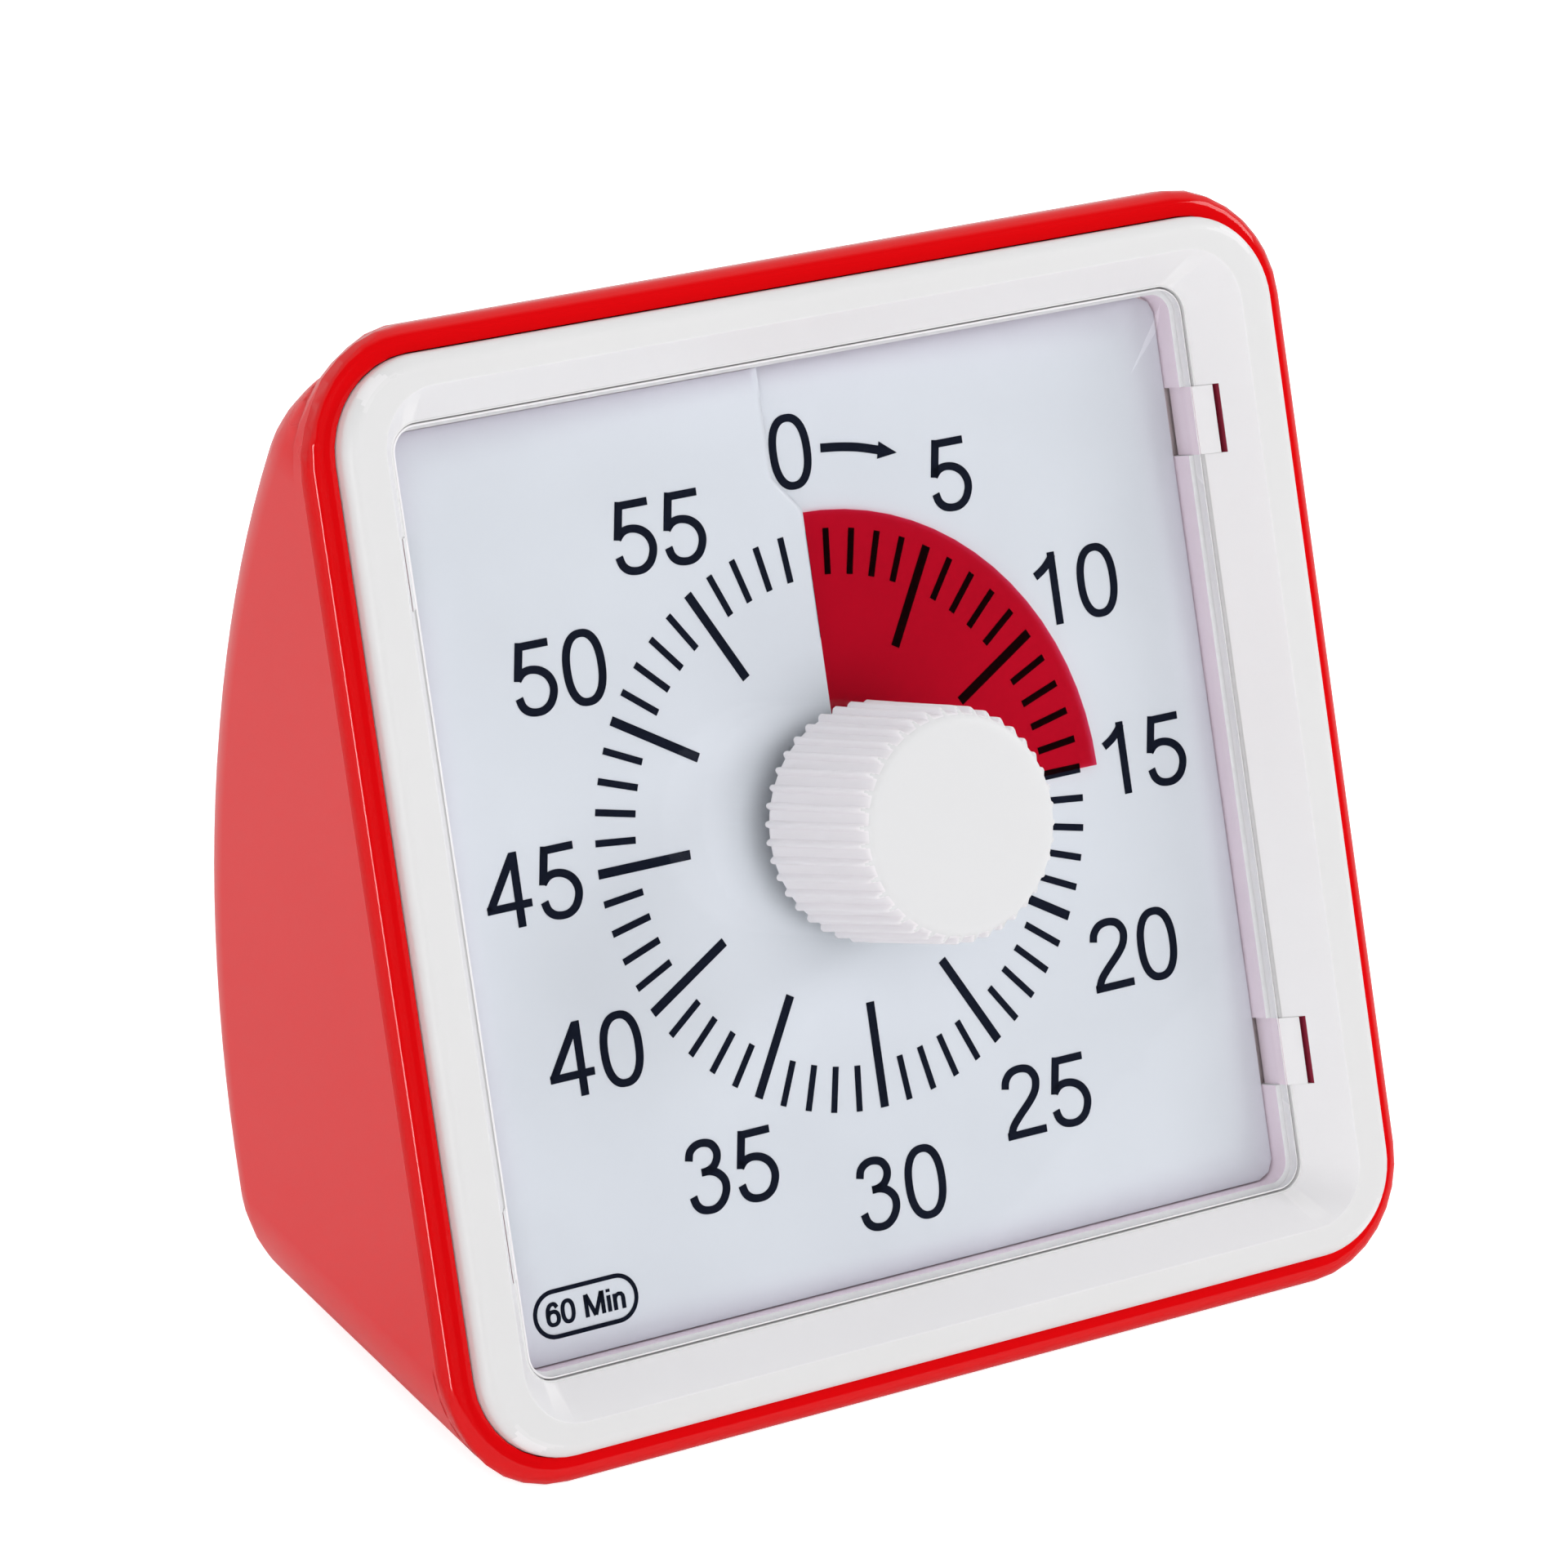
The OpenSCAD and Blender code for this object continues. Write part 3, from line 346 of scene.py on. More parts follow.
def banded(name, along, per_metre, dark, light, roughness):
    """Wound wire or stacked metal: fine bands along one axis, with a little unevenness."""
    mat, tree, bsdf = fresh(name)
    wave = tree.nodes.new("ShaderNodeTexWave")
    wave.wave_type = "BANDS"
    wave.bands_direction = along
    wave.inputs["Scale"].default_value = per_metre
    wave.inputs["Distortion"].default_value = 0.6
    wire_up(tree, surface_place(tree), wave.inputs["Vector"])
    wire_up(tree, ramp(tree, wave.outputs["Fac"], [(0.1, dark), (0.8, light)]),
            bsdf.inputs["Base Color"])
    bump(tree, bsdf, wave.outputs["Fac"], 0.05)
    bsdf.inputs["Roughness"].default_value = roughness
    bsdf.inputs["Metallic"].default_value = 1.0
    return mat


def clear_sheet(name, through, gloss_share, gloss_roughness):
    """A see-through sheet: it passes light in its own colour and mirrors more at its edges."""
    mat, tree, bsdf = fresh(name)
    tree.nodes.remove(bsdf)
    clear = tree.nodes.new("ShaderNodeBsdfTransparent")
    shine = tree.nodes.new("ShaderNodeBsdfGlossy")
    facing = tree.nodes.new("ShaderNodeLayerWeight")
    steep = tree.nodes.new("ShaderNodeMath")
    share = tree.nodes.new("ShaderNodeMath")
    mix = tree.nodes.new("ShaderNodeMixShader")
    facing.inputs["Blend"].default_value = 0.5
    steep.operation = "POWER"
    steep.inputs[1].default_value = 5.0
    share.operation = "MULTIPLY_ADD"
    share.inputs[1].default_value = 0.8 * gloss_share  # added where it is seen edge on
    share.inputs[2].default_value = 0.04 * gloss_share  # mirrored where it is seen square on
    shine.inputs["Roughness"].default_value = gloss_roughness
    shine.inputs["Color"].default_value = (1, 1, 1, 1)
    place = surface_place(tree)
    deeper = tuple(part * 0.985 for part in through)
    wire_up(tree, ramp(tree, noise(tree, place, 60, 3), [(0.3, deeper), (0.7, through)]),
            clear.inputs["Color"])
    wire_up(tree, facing.outputs["Facing"], steep.inputs[0])
    wire_up(tree, steep.outputs["Value"], share.inputs[0])
    wire_up(tree, share.outputs["Value"], mix.inputs["Fac"])
    wire_up(tree, clear.outputs["BSDF"], mix.inputs[1])
    wire_up(tree, shine.outputs["BSDF"], mix.inputs[2])
    wire_up(tree, mix.outputs["Shader"], tree.nodes["Material Output"].inputs["Surface"])
    return mat


RED_SHELL = moulded("red_grained_shell", (0.81, 0.005, 0.008), (0.86, 0.006, 0.010), (0.26, 0.34),
                    grain_mm=0.004, grain_scale=5000, level=0.7)
RED_RIM = moulded("red_polished_rim", (0.73, 0.0022, 0.004), (0.77, 0.0028, 0.005), (0.07, 0.12),
                  grain_mm=0.001, grain_scale=3000, level=0.25)
WHITE_FRAME = white_plastic("white_frame", (0.775, 0.772, 0.775), (0.80, 0.797, 0.80))
# The bend and flare whites are lighter copies of the frame's white: painted light that evens out
# the shade on their slopes.
WHITE_BEND_PAINTED_LIGHT = white_plastic("white_bend_painted_light", (0.81, 0.805, 0.81), (0.835, 0.83, 0.835))
WHITE_FLARE_PAINTED_LIGHT = white_plastic("white_flare_painted_light", (0.865, 0.855, 0.865), (0.89, 0.88, 0.89))
# Painted dark red shade for the white slot walls, standing in for the shadow and the red housing
# reflected through the slit.
PAINTED_SLIT_SHADE = moulded("painted_red_shade_in_slit", (0.26, 0.008, 0.03), (0.34, 0.012, 0.045), (0.5, 0.6))
WHITE_KNOB = white_plastic("white_knob", (0.77, 0.77, 0.78), (0.80, 0.80, 0.81),
                           (0.42, 0.55), 0.08)
# The ribbed side is a lighter, faintly rosy copy of the knob's white: painted light and a painted
# rosy reflection on the side.
KNOB_SIDE_PAINTED_LIGHT = white_plastic("white_knob_ribs_painted_light", (0.93, 0.90, 0.925), (0.96, 0.93, 0.955),
                          (0.42, 0.55), 0.08)
CARD = moulded("dial_card", (0.765, 0.80, 0.855), (0.79, 0.825, 0.87), (0.35, 0.45),
               grain_mm=0.004, grain_scale=1800)
INK = moulded("printing_ink", (0.003, 0.005, 0.014), (0.005, 0.008, 0.020), (0.5, 0.65),
              grain_mm=0.004, grain_scale=4000, level=0.1)
FILM = clear_sheet("red_clear_film", (0.925, 0.26, 0.39), 0.3, 0.12)
ACRYLIC = clear_sheet("clear_acrylic", (0.994, 0.996, 1.0), 0.4, 0.02)
# Opaque pale paint on the lens's edge faces: a painted highlight for the glint along the edges of
# clear acrylic.
ACRYLIC_EDGE_PAINTED_GLINT = moulded("acrylic_edge_painted_glint", (0.90, 0.88, 0.90), (0.95, 0.94, 0.95), (0.2, 0.3),
                       grain_mm=0.004, grain_scale=1500)
GREY_CASE = moulded("grey_case", (0.10, 0.10, 0.105), (0.13, 0.13, 0.135), (0.4, 0.55))
# Painted rosy shade: the well's white walls coloured as shade lit by red light from the housing.
PAINTED_ROSY_SHADE = moulded("painted_rosy_shade_well_wall", (0.93, 0.79, 0.87), (0.95, 0.82, 0.90), (0.4, 0.5))
# The backing plate gets the same kind of painted rosy shade, where it shows in the gap round the
# dial.
ROSY_SHADE_PLATE = moulded("plate_painted_rosy_shade", (0.80, 0.66, 0.68), (0.84, 0.71, 0.73), (0.4, 0.55))
IVORY_GEAR = moulded("ivory_acetal", (0.74, 0.70, 0.60), (0.80, 0.77, 0.67), (0.3, 0.42),
                     grain_mm=0.004, glow=0.2)
BLACK_PLASTIC = moulded("black_plastic", (0.012, 0.012, 0.013), (0.02, 0.02, 0.022), (0.35, 0.5))
EPOXY = moulded("chip_epoxy", (0.01, 0.01, 0.011), (0.022, 0.022, 0.024), (0.5, 0.7),
                grain_mm=0.02, grain_scale=5000)
MAGNET = moulded("sintered_magnet", (0.05, 0.05, 0.055), (0.09, 0.09, 0.095), (0.45, 0.65),
                 grain_mm=0.02, grain_scale=6000)
MASK = moulded("green_solder_mask", (0.004, 0.07, 0.025), (0.008, 0.12, 0.04), (0.2, 0.35),
               grain_mm=0.02, grain_scale=700)
RED_LEAD = moulded("red_insulation", (0.5, 0.01, 0.01), (0.6, 0.02, 0.02), (0.35, 0.5))
BLACK_LEAD = moulded("black_insulation", (0.012, 0.012, 0.012), (0.025, 0.025, 0.025),
                     (0.35, 0.5))
BLUE_LEAD = moulded("blue_insulation", (0.01, 0.05, 0.35), (0.02, 0.08, 0.45), (0.35, 0.5))
STEEL = metal("turned_steel", (0.48, 0.48, 0.5), (0.62, 0.62, 0.64), (0.2, 0.35), (1, 1, 6))
ZINC = metal("zinc_screw", (0.52, 0.53, 0.55), (0.70, 0.71, 0.73), (0.25, 0.45), scale=900)
NICKEL = metal("nickel_strip", (0.60, 0.58, 0.54), (0.74, 0.72, 0.68), (0.18, 0.32), (6, 1, 1))
BRASS = metal("spring_brass", (0.62, 0.42, 0.15), (0.78, 0.56, 0.24), (0.22, 0.38), (1, 6, 1))
LAMINATION = banded("stator_laminations", "Z", 900, (0.16, 0.16, 0.18), (0.3, 0.3, 0.32), 0.4)
COIL_WIRE = banded("copper_winding", "X", 1500, (0.30, 0.10, 0.03), (0.72, 0.30, 0.12), 0.3)


def cell_sleeve():
    """Plain shrink sleeve on the cell: copper tone near its plus end, black for the rest."""
    mat, tree, bsdf = fresh("cell_sleeve")
    place = surface_place(tree)
    split = tree.nodes.new("ShaderNodeSeparateXYZ")
    wire_up(tree, place, split.inputs["Vector"])
    along = tree.nodes.new("ShaderNodeMapRange")
    low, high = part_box("battery_cell")
    along.inputs["From Min"].default_value = low.x
    along.inputs["From Max"].default_value = high.x
    wire_up(tree, split.outputs["X"], along.inputs["Value"])
    tin = (0.62, 0.6, 0.56)
    wire_up(tree, ramp(tree, along.outputs["Result"], [
        (0.0, tin), (0.022, tin), (0.024, (0.55, 0.27, 0.10)), (0.27, (0.62, 0.32, 0.13)),
        (0.272, (0.012, 0.012, 0.014)), (0.99, (0.02, 0.02, 0.022)), (1.0, tin)]),
            bsdf.inputs["Base Color"])
    wire_up(tree, between(tree, noise(tree, place, 90), 0.2, 0.34), bsdf.inputs["Roughness"])
    bump(tree, bsdf, noise(tree, place, 300, 2), 0.02, 0.4)
    bsdf.inputs["Metallic"].default_value = 0.3
    return mat


FINISH = {
    "film_hub": IVORY_GEAR, "setting_spindle": STEEL, "backing_plate": ROSY_SHADE_PLATE,
    "movement_front": GREY_CASE, "movement_rear": GREY_CASE, "output_wheel": IVORY_GEAR,
    "clutch_spring": BRASS, "alarm_cam": IVORY_GEAR, "contact_leaf": BRASS,
    "third_wheel": IVORY_GEAR, "second_wheel": IVORY_GEAR, "motor_rotor": MAGNET,
    "motor_stator": LAMINATION, "motor_coil": COIL_WIRE, "movement_screws": ZINC,
    "plate_screws": ZINC, "housing_screws": ZINC, "circuit_board": MASK, "board_chips": EPOXY,
    "board_screws": ZINC, "sounder": BLACK_PLASTIC, "switch_body": NICKEL,
    "battery_cell": cell_sleeve(), "battery_spring": NICKEL, "battery_plate": NICKEL,
    "lead_positive": RED_LEAD, "lead_negative": BLACK_LEAD, "motor_leads": BLUE_LEAD,
}


def dress(obj, *finishes):
    """Gives a piece its materials; all faces keep the first one until they are painted."""
    obj.data.materials.clear()
    for mat in finishes:
        obj.data.materials.append(mat)
    return obj


def paint(obj, finish_of, *finishes):
    """Dresses a piece in several materials; finish_of(face) says which one a face gets."""
    dress(obj, *finishes)
    for face in obj.data.polygons:
        face.material_index = finishes.index(finish_of(face))
    return obj


def dress_inner_pieces():
    for node, mat in FINISH.items():
        dress(nodes[node], mat)


# ---------- housing, bezel, door ----------


def ease(low, high, value):
    """0 below low, 1 above high, and a smooth rise between."""
    t = min(max((value - low) / (high - low), 0.0), 1.0)
    return t * t * (3 - 2 * t)


def cut_across(obj, middle, across):
    """Adds the line where a plane crosses the piece, and takes nothing away."""
    open_whole(obj)
    bpy.ops.mesh.bisect(plane_co=middle, plane_no=across)
    close(obj)


def draw_in_crown_corners(obj):
    """Brings the back of the rim's two upper corners nearer to the body behind it."""
    for vert in obj.data.vertices:
        place = on_dial(vert.co)
        across, rise = abs(place.x) - CROWN_ACROSS, place.y - CROWN_UP
        if place.z < LIP_BACK or min(across, rise) <= 0 or math.hypot(across, rise) < LIP_RADIUS:
            continue
        turn = math.atan2(rise, across)
        at_corner = ease(0.0, CROWN_BLEND, turn) * ease(0.0, CROWN_BLEND, math.pi / 2 - turn)
        shift = -DRAW_IN * at_corner * (1 - ease(LIP_BACK, LIP_FRONT, place.z))
        place += shift * Vector((math.copysign(math.cos(turn), place.x), math.sin(turn), 0))
        vert.co = off_dial(place)


def housing_shell():
    """Grained body with the polished rim that frames the bezel, parted by one clean line."""
    obj = moulding("rear_housing", "housing_shell")
    draw_in_crown_corners(obj)
    line = DIAL @ Vector((0, 0, RIM_BACK * MM))
    cut_across(obj, line, OUT)
    soften(obj, 32)
    paint(obj, lambda face: RED_RIM if (face.center - line).dot(OUT) > 0 else RED_SHELL,
          RED_SHELL, RED_RIM)
    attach(obj, "housing")


def at_flare_top(one, other):
    """Whether an edge is the one where the bezel's flare meets its land."""
    one, other = on_dial(one), on_dial(other)
    reach = max(abs(one.x), abs(one.y), abs(other.x), abs(other.y))
    return min(one.z, other.z) > LAND_HEIGHT and reach < LAND_REACH


def bezel_finish(face):
    """Painted dark red shade in the slots behind the tabs, painted rosy shade down the well, and
    painted light up the flare and its bend.
    """
    place = on_dial(face.center)
    reach = max(abs(place.x), abs(place.y))
    tilt = face.normal.dot(OUT)
    in_slot = SLOT_NEAR < abs(place.x) < SLOT_FAR and abs(abs(place.y) - TAB_UP) < SLOT_HALF
    if in_slot and abs(face.normal.x) > 0.9:
        return PAINTED_SLIT_SHADE
    if place.z < WELL_TOP and reach < WELL_REACH and abs(tilt) < WALL_TILT:
        return PAINTED_ROSY_SHADE
    if place.z > FLARE_FOOT and reach < BEND_REACH and FLARE_TILT < tilt < LAND_TILT:
        return WHITE_BEND_PAINTED_LIGHT if tilt > BEND_TILT else WHITE_FLARE_PAINTED_LIGHT
    return WHITE_FRAME


def bezel_frame():
    """White frame whose flare runs into the land without a hard line."""
    obj = moulding("front_bezel", "bezel_frame", 28)
    round_edges(obj, at_flare_top, BEND_RADIUS * MM, BEND_STEPS)
    soften(obj, 28)
    paint(obj, bezel_finish, WHITE_FRAME, PAINTED_SLIT_SHADE, PAINTED_ROSY_SHADE, WHITE_BEND_PAINTED_LIGHT, WHITE_FLARE_PAINTED_LIGHT)
    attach(obj, "housing")


def door_panel():
    obj = dress(moulding("battery_door", "door_panel"), RED_SHELL)
    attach(obj, "battery_door")


def slide_button():
    obj = dress(moulding("volume_slider", "slide_button"), BLACK_PLASTIC)
    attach(obj, "volume_slider")


def film_disc():
    obj = dress(moulding("red_film", "film_disc"), FILM)
    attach(obj, "film")


def block(low, high):
    """A box between two corners in millimetres, with its place in its mesh."""
    bpy.ops.mesh.primitive_cube_add(size=1)
    obj = bpy.context.object
    obj.scale = Vector(high) - Vector(low)
    obj.location = (Vector(high) + Vector(low)) / 2
    return apply_place(obj)


def lens_plate():
    """Clear plate with round corners, a broken front edge and a hole for the spindle."""
    half = LENS_WIDTH / 2
    plate = block((-half, -half, LENS_BACK), (half, half, LENS_FRONT))
    round_edges(plate, lambda a, b: abs(a.x - b.x) + abs(a.y - b.y) < NEAR, LENS_CORNER, 8)
    round_edges(plate, lambda a, b: min(a.z, b.z) > LENS_FRONT - NEAR, LENS_BREAK, 2)
    bpy.ops.mesh.primitive_cylinder_add(vertices=64, radius=HOLE_RADIUS, depth=DRILL_LENGTH,
                                        location=(0, 0, DRILL_MIDDLE))
    drill = apply_place(bpy.context.object)
    cut = plate.modifiers.new("spindle_hole", "BOOLEAN")
    cut.operation = "DIFFERENCE"
    cut.object = drill
    pick(plate)
    bpy.ops.object.modifier_apply(modifier=cut.name)
    bpy.data.objects.remove(drill)
    return plate


def snap_tab(side, middle):
    """White tab at the lens edge: its sloped top carries the flare on, its hook holds behind."""
    low, high, out = middle - TAB_HALF, middle + TAB_HALF, LENS_WIDTH / 2
    tab = block((out - TAB_ROOT, low, TAB_FOOT), (out + TAB_REACH, high, LENS_FRONT))
    for vert in tab.data.vertices:
        if vert.co.z > LENS_BACK and vert.co.x > out:
            vert.co.z = LENS_FRONT + TAB_RISE
    hook = block((out, low, TAB_FOOT), (out + HOOK_REACH, high, HOOK_TOP))
    for piece in (tab, hook):
        piece.data.transform(Matrix.Scale(side, 4, (1, 0, 0)))
    return [tab, hook]


def lens_window():
    """The clear lens; the faces along its edges are painted paler than the ones looked through, as
    a painted highlight.
    """
    plate = lens_plate()
    tabs = [piece for side in (1, -1) for middle in (TAB_UP, -TAB_UP)
            for piece in snap_tab(side, middle)]
    clear = len(plate.data.polygons)
    obj = turn_faces_out(join_as("lens_window", [plate] + tabs))

    def lens_finish(face):
        if face.index < clear:
            # Edge faces of the plate get the painted highlight.
            return ACRYLIC if abs(face.normal.z) > 0.95 else ACRYLIC_EDGE_PAINTED_GLINT
        # Tab tops get the flare's painted light, and their low left walls the painted rosy shade.
        left_wall = face.normal.x < -0.5 and face.center.z < TAB_WALL_TOP
        return PAINTED_ROSY_SHADE if left_wall else WHITE_FLARE_PAINTED_LIGHT

    paint(obj, lens_finish, ACRYLIC, ACRYLIC_EDGE_PAINTED_GLINT, WHITE_FLARE_PAINTED_LIGHT, PAINTED_ROSY_SHADE)
    soften(obj, 25)
    settle(obj, DIAL @ Matrix.Scale(MM, 4))
    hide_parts("lens")
    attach(obj, "housing")


# ---------- knob ----------


def rib_ring(obj, radius, height, rib):
    """Sets the selected ring to a radius and height, with rounded ribs that stand rib proud."""
    mesh = bmesh.from_edit_mesh(obj.data)
    for vert in (v for v in mesh.verts if v.select):
        turn = math.atan2(vert.co.y, vert.co.x)
        share = (turn / (2 * math.pi) * KNOB_RIBS) % 1
        across = min(share, 1 - share) / RIB_SHARE
        lift = math.sqrt(1 - across * across) if across < 1 else 0.0
        reach = radius + rib * lift
        vert.co = Vector((reach * math.cos(turn), reach * math.sin(turn), height))
    bmesh.update_edit_mesh(obj.data)


def ribbed_knob():
    """Drawn up ring by ring from its foot on the lens to its slightly crowned face."""
    body = KNOB_RADIUS - RIB_RISE
    profile = [  # radius, height, how far the ribs stand out
        (body - 1.3, 2.75, 0.0), (body - 0.35, 2.52, 0.0), (body - 0.08, 2.56, 0.1),
        (body, 2.66, 0.36), (body, 2.9, RIB_RISE), (body - 0.1, 6.0, RIB_RISE),
        (body - 0.2, 10.0, RIB_RISE), (body - 0.28, 14.0, RIB_RISE), (body - 0.3, 14.4, 0.44),
        (body - 0.33, 14.66, 0.33), (body - 0.38, 14.88, 0.18), (body - 0.47, 15.1, 0.06),
        (body - 0.62, 15.27, 0.0), (body - 0.86, 15.37, 0.0), (body - 1.2, 15.42, 0.0),
        (body - 2.2, 15.44, 0.0), (4.2, 15.48, 0.0), (1.8, KNOB_TOP - 0.01, 0.0)]
    bpy.ops.mesh.primitive_circle_add(vertices=KNOB_RIBS * RIB_POINTS, radius=body)
    obj = named(bpy.context.object, "ribbed_knob")
    open_whole(obj)
    rib_ring(obj, *profile[0])
    bpy.ops.mesh.edge_face_add()
    for ring in profile[1:]:
        bpy.ops.mesh.extrude_region_move()
        rib_ring(obj, *ring)
    bpy.ops.mesh.select_all(action="SELECT")
    bpy.ops.mesh.normals_make_consistent(inside=False)
    close(obj)
    settle(obj, DIAL @ Matrix.Scale(MM, 4))
    soften(obj, 50)
    # The ribbed side gets the painted-light copy of the white; the face keeps the plain white.
    paint(obj, lambda face: KNOB_SIDE_PAINTED_LIGHT if abs(face.normal.dot(OUT)) < SIDE_TILT else WHITE_KNOB,
          WHITE_KNOB, KNOB_SIDE_PAINTED_LIGHT)
    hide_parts("knob")
    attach(obj, "knob")


# ---------- dial and its printing ----------


def sheet_tree():
    """The dial sheet in the dial's own frame, in metres, for looking up its height."""
    sheet = bmesh.new()
    sheet.from_mesh(nodes["dial_sheet"].data)
    sheet.transform(FLAT)
    tree = BVHTree.FromBMesh(sheet)
    sheet.free()
    return tree


SHEET = sheet_tree()


def square_reach(x, y, half, corner):
    """Distance from the middle to the edge of a rounded square, along the way to (x, y)."""
    long, short = sorted((abs(x), abs(y)), reverse=True)
    long, short = long / math.hypot(x, y), short / math.hypot(x, y)
    if half / long * short <= half - corner:
        return half / long
    middle = (half - corner) * (long + short)
    return middle + math.sqrt(middle ** 2 - 2 * (half - corner) ** 2 + corner ** 2)


def dial_face():
    """The CAD sheet with its edge drawn out to the well and its corners rounded evenly."""
    obj = linked("dial_face", nodes["dial_sheet"].data.copy())
    open_whole(obj)
    bpy.ops.mesh.remove_doubles(threshold=0.001 * MM)
    bpy.ops.mesh.subdivide(number_cuts=3)
    close(obj)
    for vert in obj.data.vertices:
        place = on_dial(vert.co)
        reach = square_reach(place.x, place.y, DIAL_HALF, DIAL_CORNER)
        if math.hypot(place.x, place.y) > DIAL_INNER * reach:
            place.xy = place.xy.normalized() * reach
            vert.co = off_dial(place)
    dress(obj, CARD)
    soften(obj, 30)
    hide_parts("dial_sheet")
    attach(obj, "housing")


def lay_on_sheet(obj):
    """Drops a flat print, drawn in millimetres, onto the dial sheet, whose turns rise slowly."""
    above = 10 * MM
    for vert in obj.data.vertices:
        x, y, lift = vert.co * MM
        hit = SHEET.ray_cast(Vector((x, y, above)), Vector((0, 0, -1)))[0]
        if hit is None:
            hit = SHEET.find_nearest(Vector((x, y, 0)))[0]
        vert.co = Vector((x, y, hit.z + lift))
    settle(obj, DIAL)
    dress(obj, INK)
    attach(obj, "housing")


def tick(minute):
    """A printed bar along a radius; every fifth one is longer and wider."""
    inner, width = LONG_TICK if minute % 5 == 0 else SHORT_TICK
    left = 0.0 if minute == 0 else -width / 2  # the sheet's slit runs along the left of 0
    obj = block((left, inner, PRINT_BACK), (width / 2, TICK_RADIUS, PRINT_FRONT))
    obj.rotation_euler.z = -math.radians(6 * minute)
    return apply_place(obj)


def dial_ticks():
    lay_on_sheet(join_as("dial_ticks", [tick(minute) for minute in range(60)]))


def smooth_line(points):
    """An even curve through a few given points."""
    points = [Vector(point) for point in points]
    last = len(points) - 1
    line = []
    for k in range(last):
        a, b, c, d = (points[min(max(k + i, 0), last)] for i in (-1, 0, 1, 2))
        for step in range(CURVE_STEPS):
            t = step / CURVE_STEPS
            line.append(0.5 * (2 * b + (c - a) * t + (2 * a - 5 * b + 4 * c - d) * t * t
                               + (3 * b - a - 3 * c + d) * t ** 3))
    return line + [points[last]]


def oval(x, y, half_w, half_h):
    """A slightly squared oval, the shape of a nought."""
    ring = []
    for k in range(OVAL_STEPS):
        turn = 2 * math.pi * k / OVAL_STEPS
        across, up = math.cos(turn), math.sin(turn)
        ring.append(Vector((x + half_w * math.copysign(abs(across) ** 0.86, across),
                            y + half_h * math.copysign(abs(up) ** 0.86, up))))
    return ring


# Pen strokes of each figure in a cell FIGURE_WIDTH wide: (points, curved, closed).
STROKES = {
    "0": [(oval(2.11, 2.7, 1.47, 2.5), False, True)],
    "1": [([(2.5, 0.0), (2.5, 5.48)], False, False),
          ([(2.62, 5.3), (2.3, 4.86), (1.65, 4.3), (0.86, 3.86)], True, False)],
    "2": [([(0.62, 3.88), (0.78, 4.5), (1.3, 5.02), (2.1, 5.18), (2.9, 4.98), (3.36, 4.42),
            (3.42, 3.85), (3.18, 3.2), (2.6, 2.55), (1.7, 1.78), (0.98, 1.08), (0.68, 0.5),
            (0.64, 0.36)], True, False), ([(0.3, 0.325), (3.84, 0.325)], False, False)],
    "3": [([(0.68, 4.08), (0.88, 4.72), (1.4, 5.1), (2.05, 5.18), (2.72, 4.96), (3.1, 4.42),
            (3.08, 3.84), (2.72, 3.32), (2.15, 3.08), (1.62, 3.05)], True, False),
          ([(1.7, 3.05), (2.35, 3.02), (3.0, 2.74), (3.48, 2.15), (3.52, 1.45), (3.18, 0.76),
            (2.6, 0.32), (1.95, 0.22), (1.28, 0.38), (0.84, 0.8), (0.64, 1.44)], True, False)],
    "4": [([(2.8, 0.0), (2.8, 5.46)], False, False), ([(0.1, 1.61), (3.87, 1.61)], False, False),
          ([(0.33, 1.56), (2.72, 5.24)], False, False)],
    "5": [([(0.98, 5.06), (3.61, 5.06)], False, False),
          ([(1.24, 5.36), (0.72, 2.62)], False, False),
          ([(0.72, 2.74), (1.2, 3.16), (1.85, 3.3), (2.6, 3.14), (3.22, 2.7), (3.56, 2.05),
            (3.55, 1.38), (3.2, 0.68), (2.6, 0.28), (1.92, 0.21), (1.28, 0.38), (0.84, 0.8),
            (0.64, 1.42)], True, False)],
    "6": [(oval(2.16, 1.78, 1.43, 1.57), False, True),
          ([(0.72, 1.9), (0.7, 2.9), (0.92, 4.05), (1.5, 4.92), (2.3, 5.18), (2.95, 4.98),
            (3.42, 4.2)], True, False)],
    "M": [([(0.88, 0.0), (0.88, 5.46)], False, False), ([(5.47, 0.0), (5.47, 5.46)], False, False),
          ([(1.0, 5.4), (3.18, 0.1)], False, False), ([(5.35, 5.4), (3.18, 0.1)], False, False)],
    "i": [([(0.84, 0.0), (0.84, 3.95)], False, False),
          ([(0.84, 4.72), (0.84, 5.46)], False, False)],
    "n": [([(0.82, 0.0), (0.82, 3.95)], False, False),
          ([(0.84, 2.7), (1.2, 3.4), (1.9, 3.75), (2.7, 3.62), (3.08, 3.05), (3.12, 2.4),
            (3.12, 0.0)], False, False)],
    " ": [],
}
ADVANCE = {"M": 6.35, "i": 1.69, " ": 2.12}  # widths of the cells that are not FIGURE_WIDTH


def heading(line, k, closed):
    """The way a line runs at one of its points."""
    count = len(line)
    before = line[(k - 1) % count] if closed or k else line[k]
    after = line[(k + 1) % count] if closed or k < count - 1 else line[k]
    return (after - before).normalized()


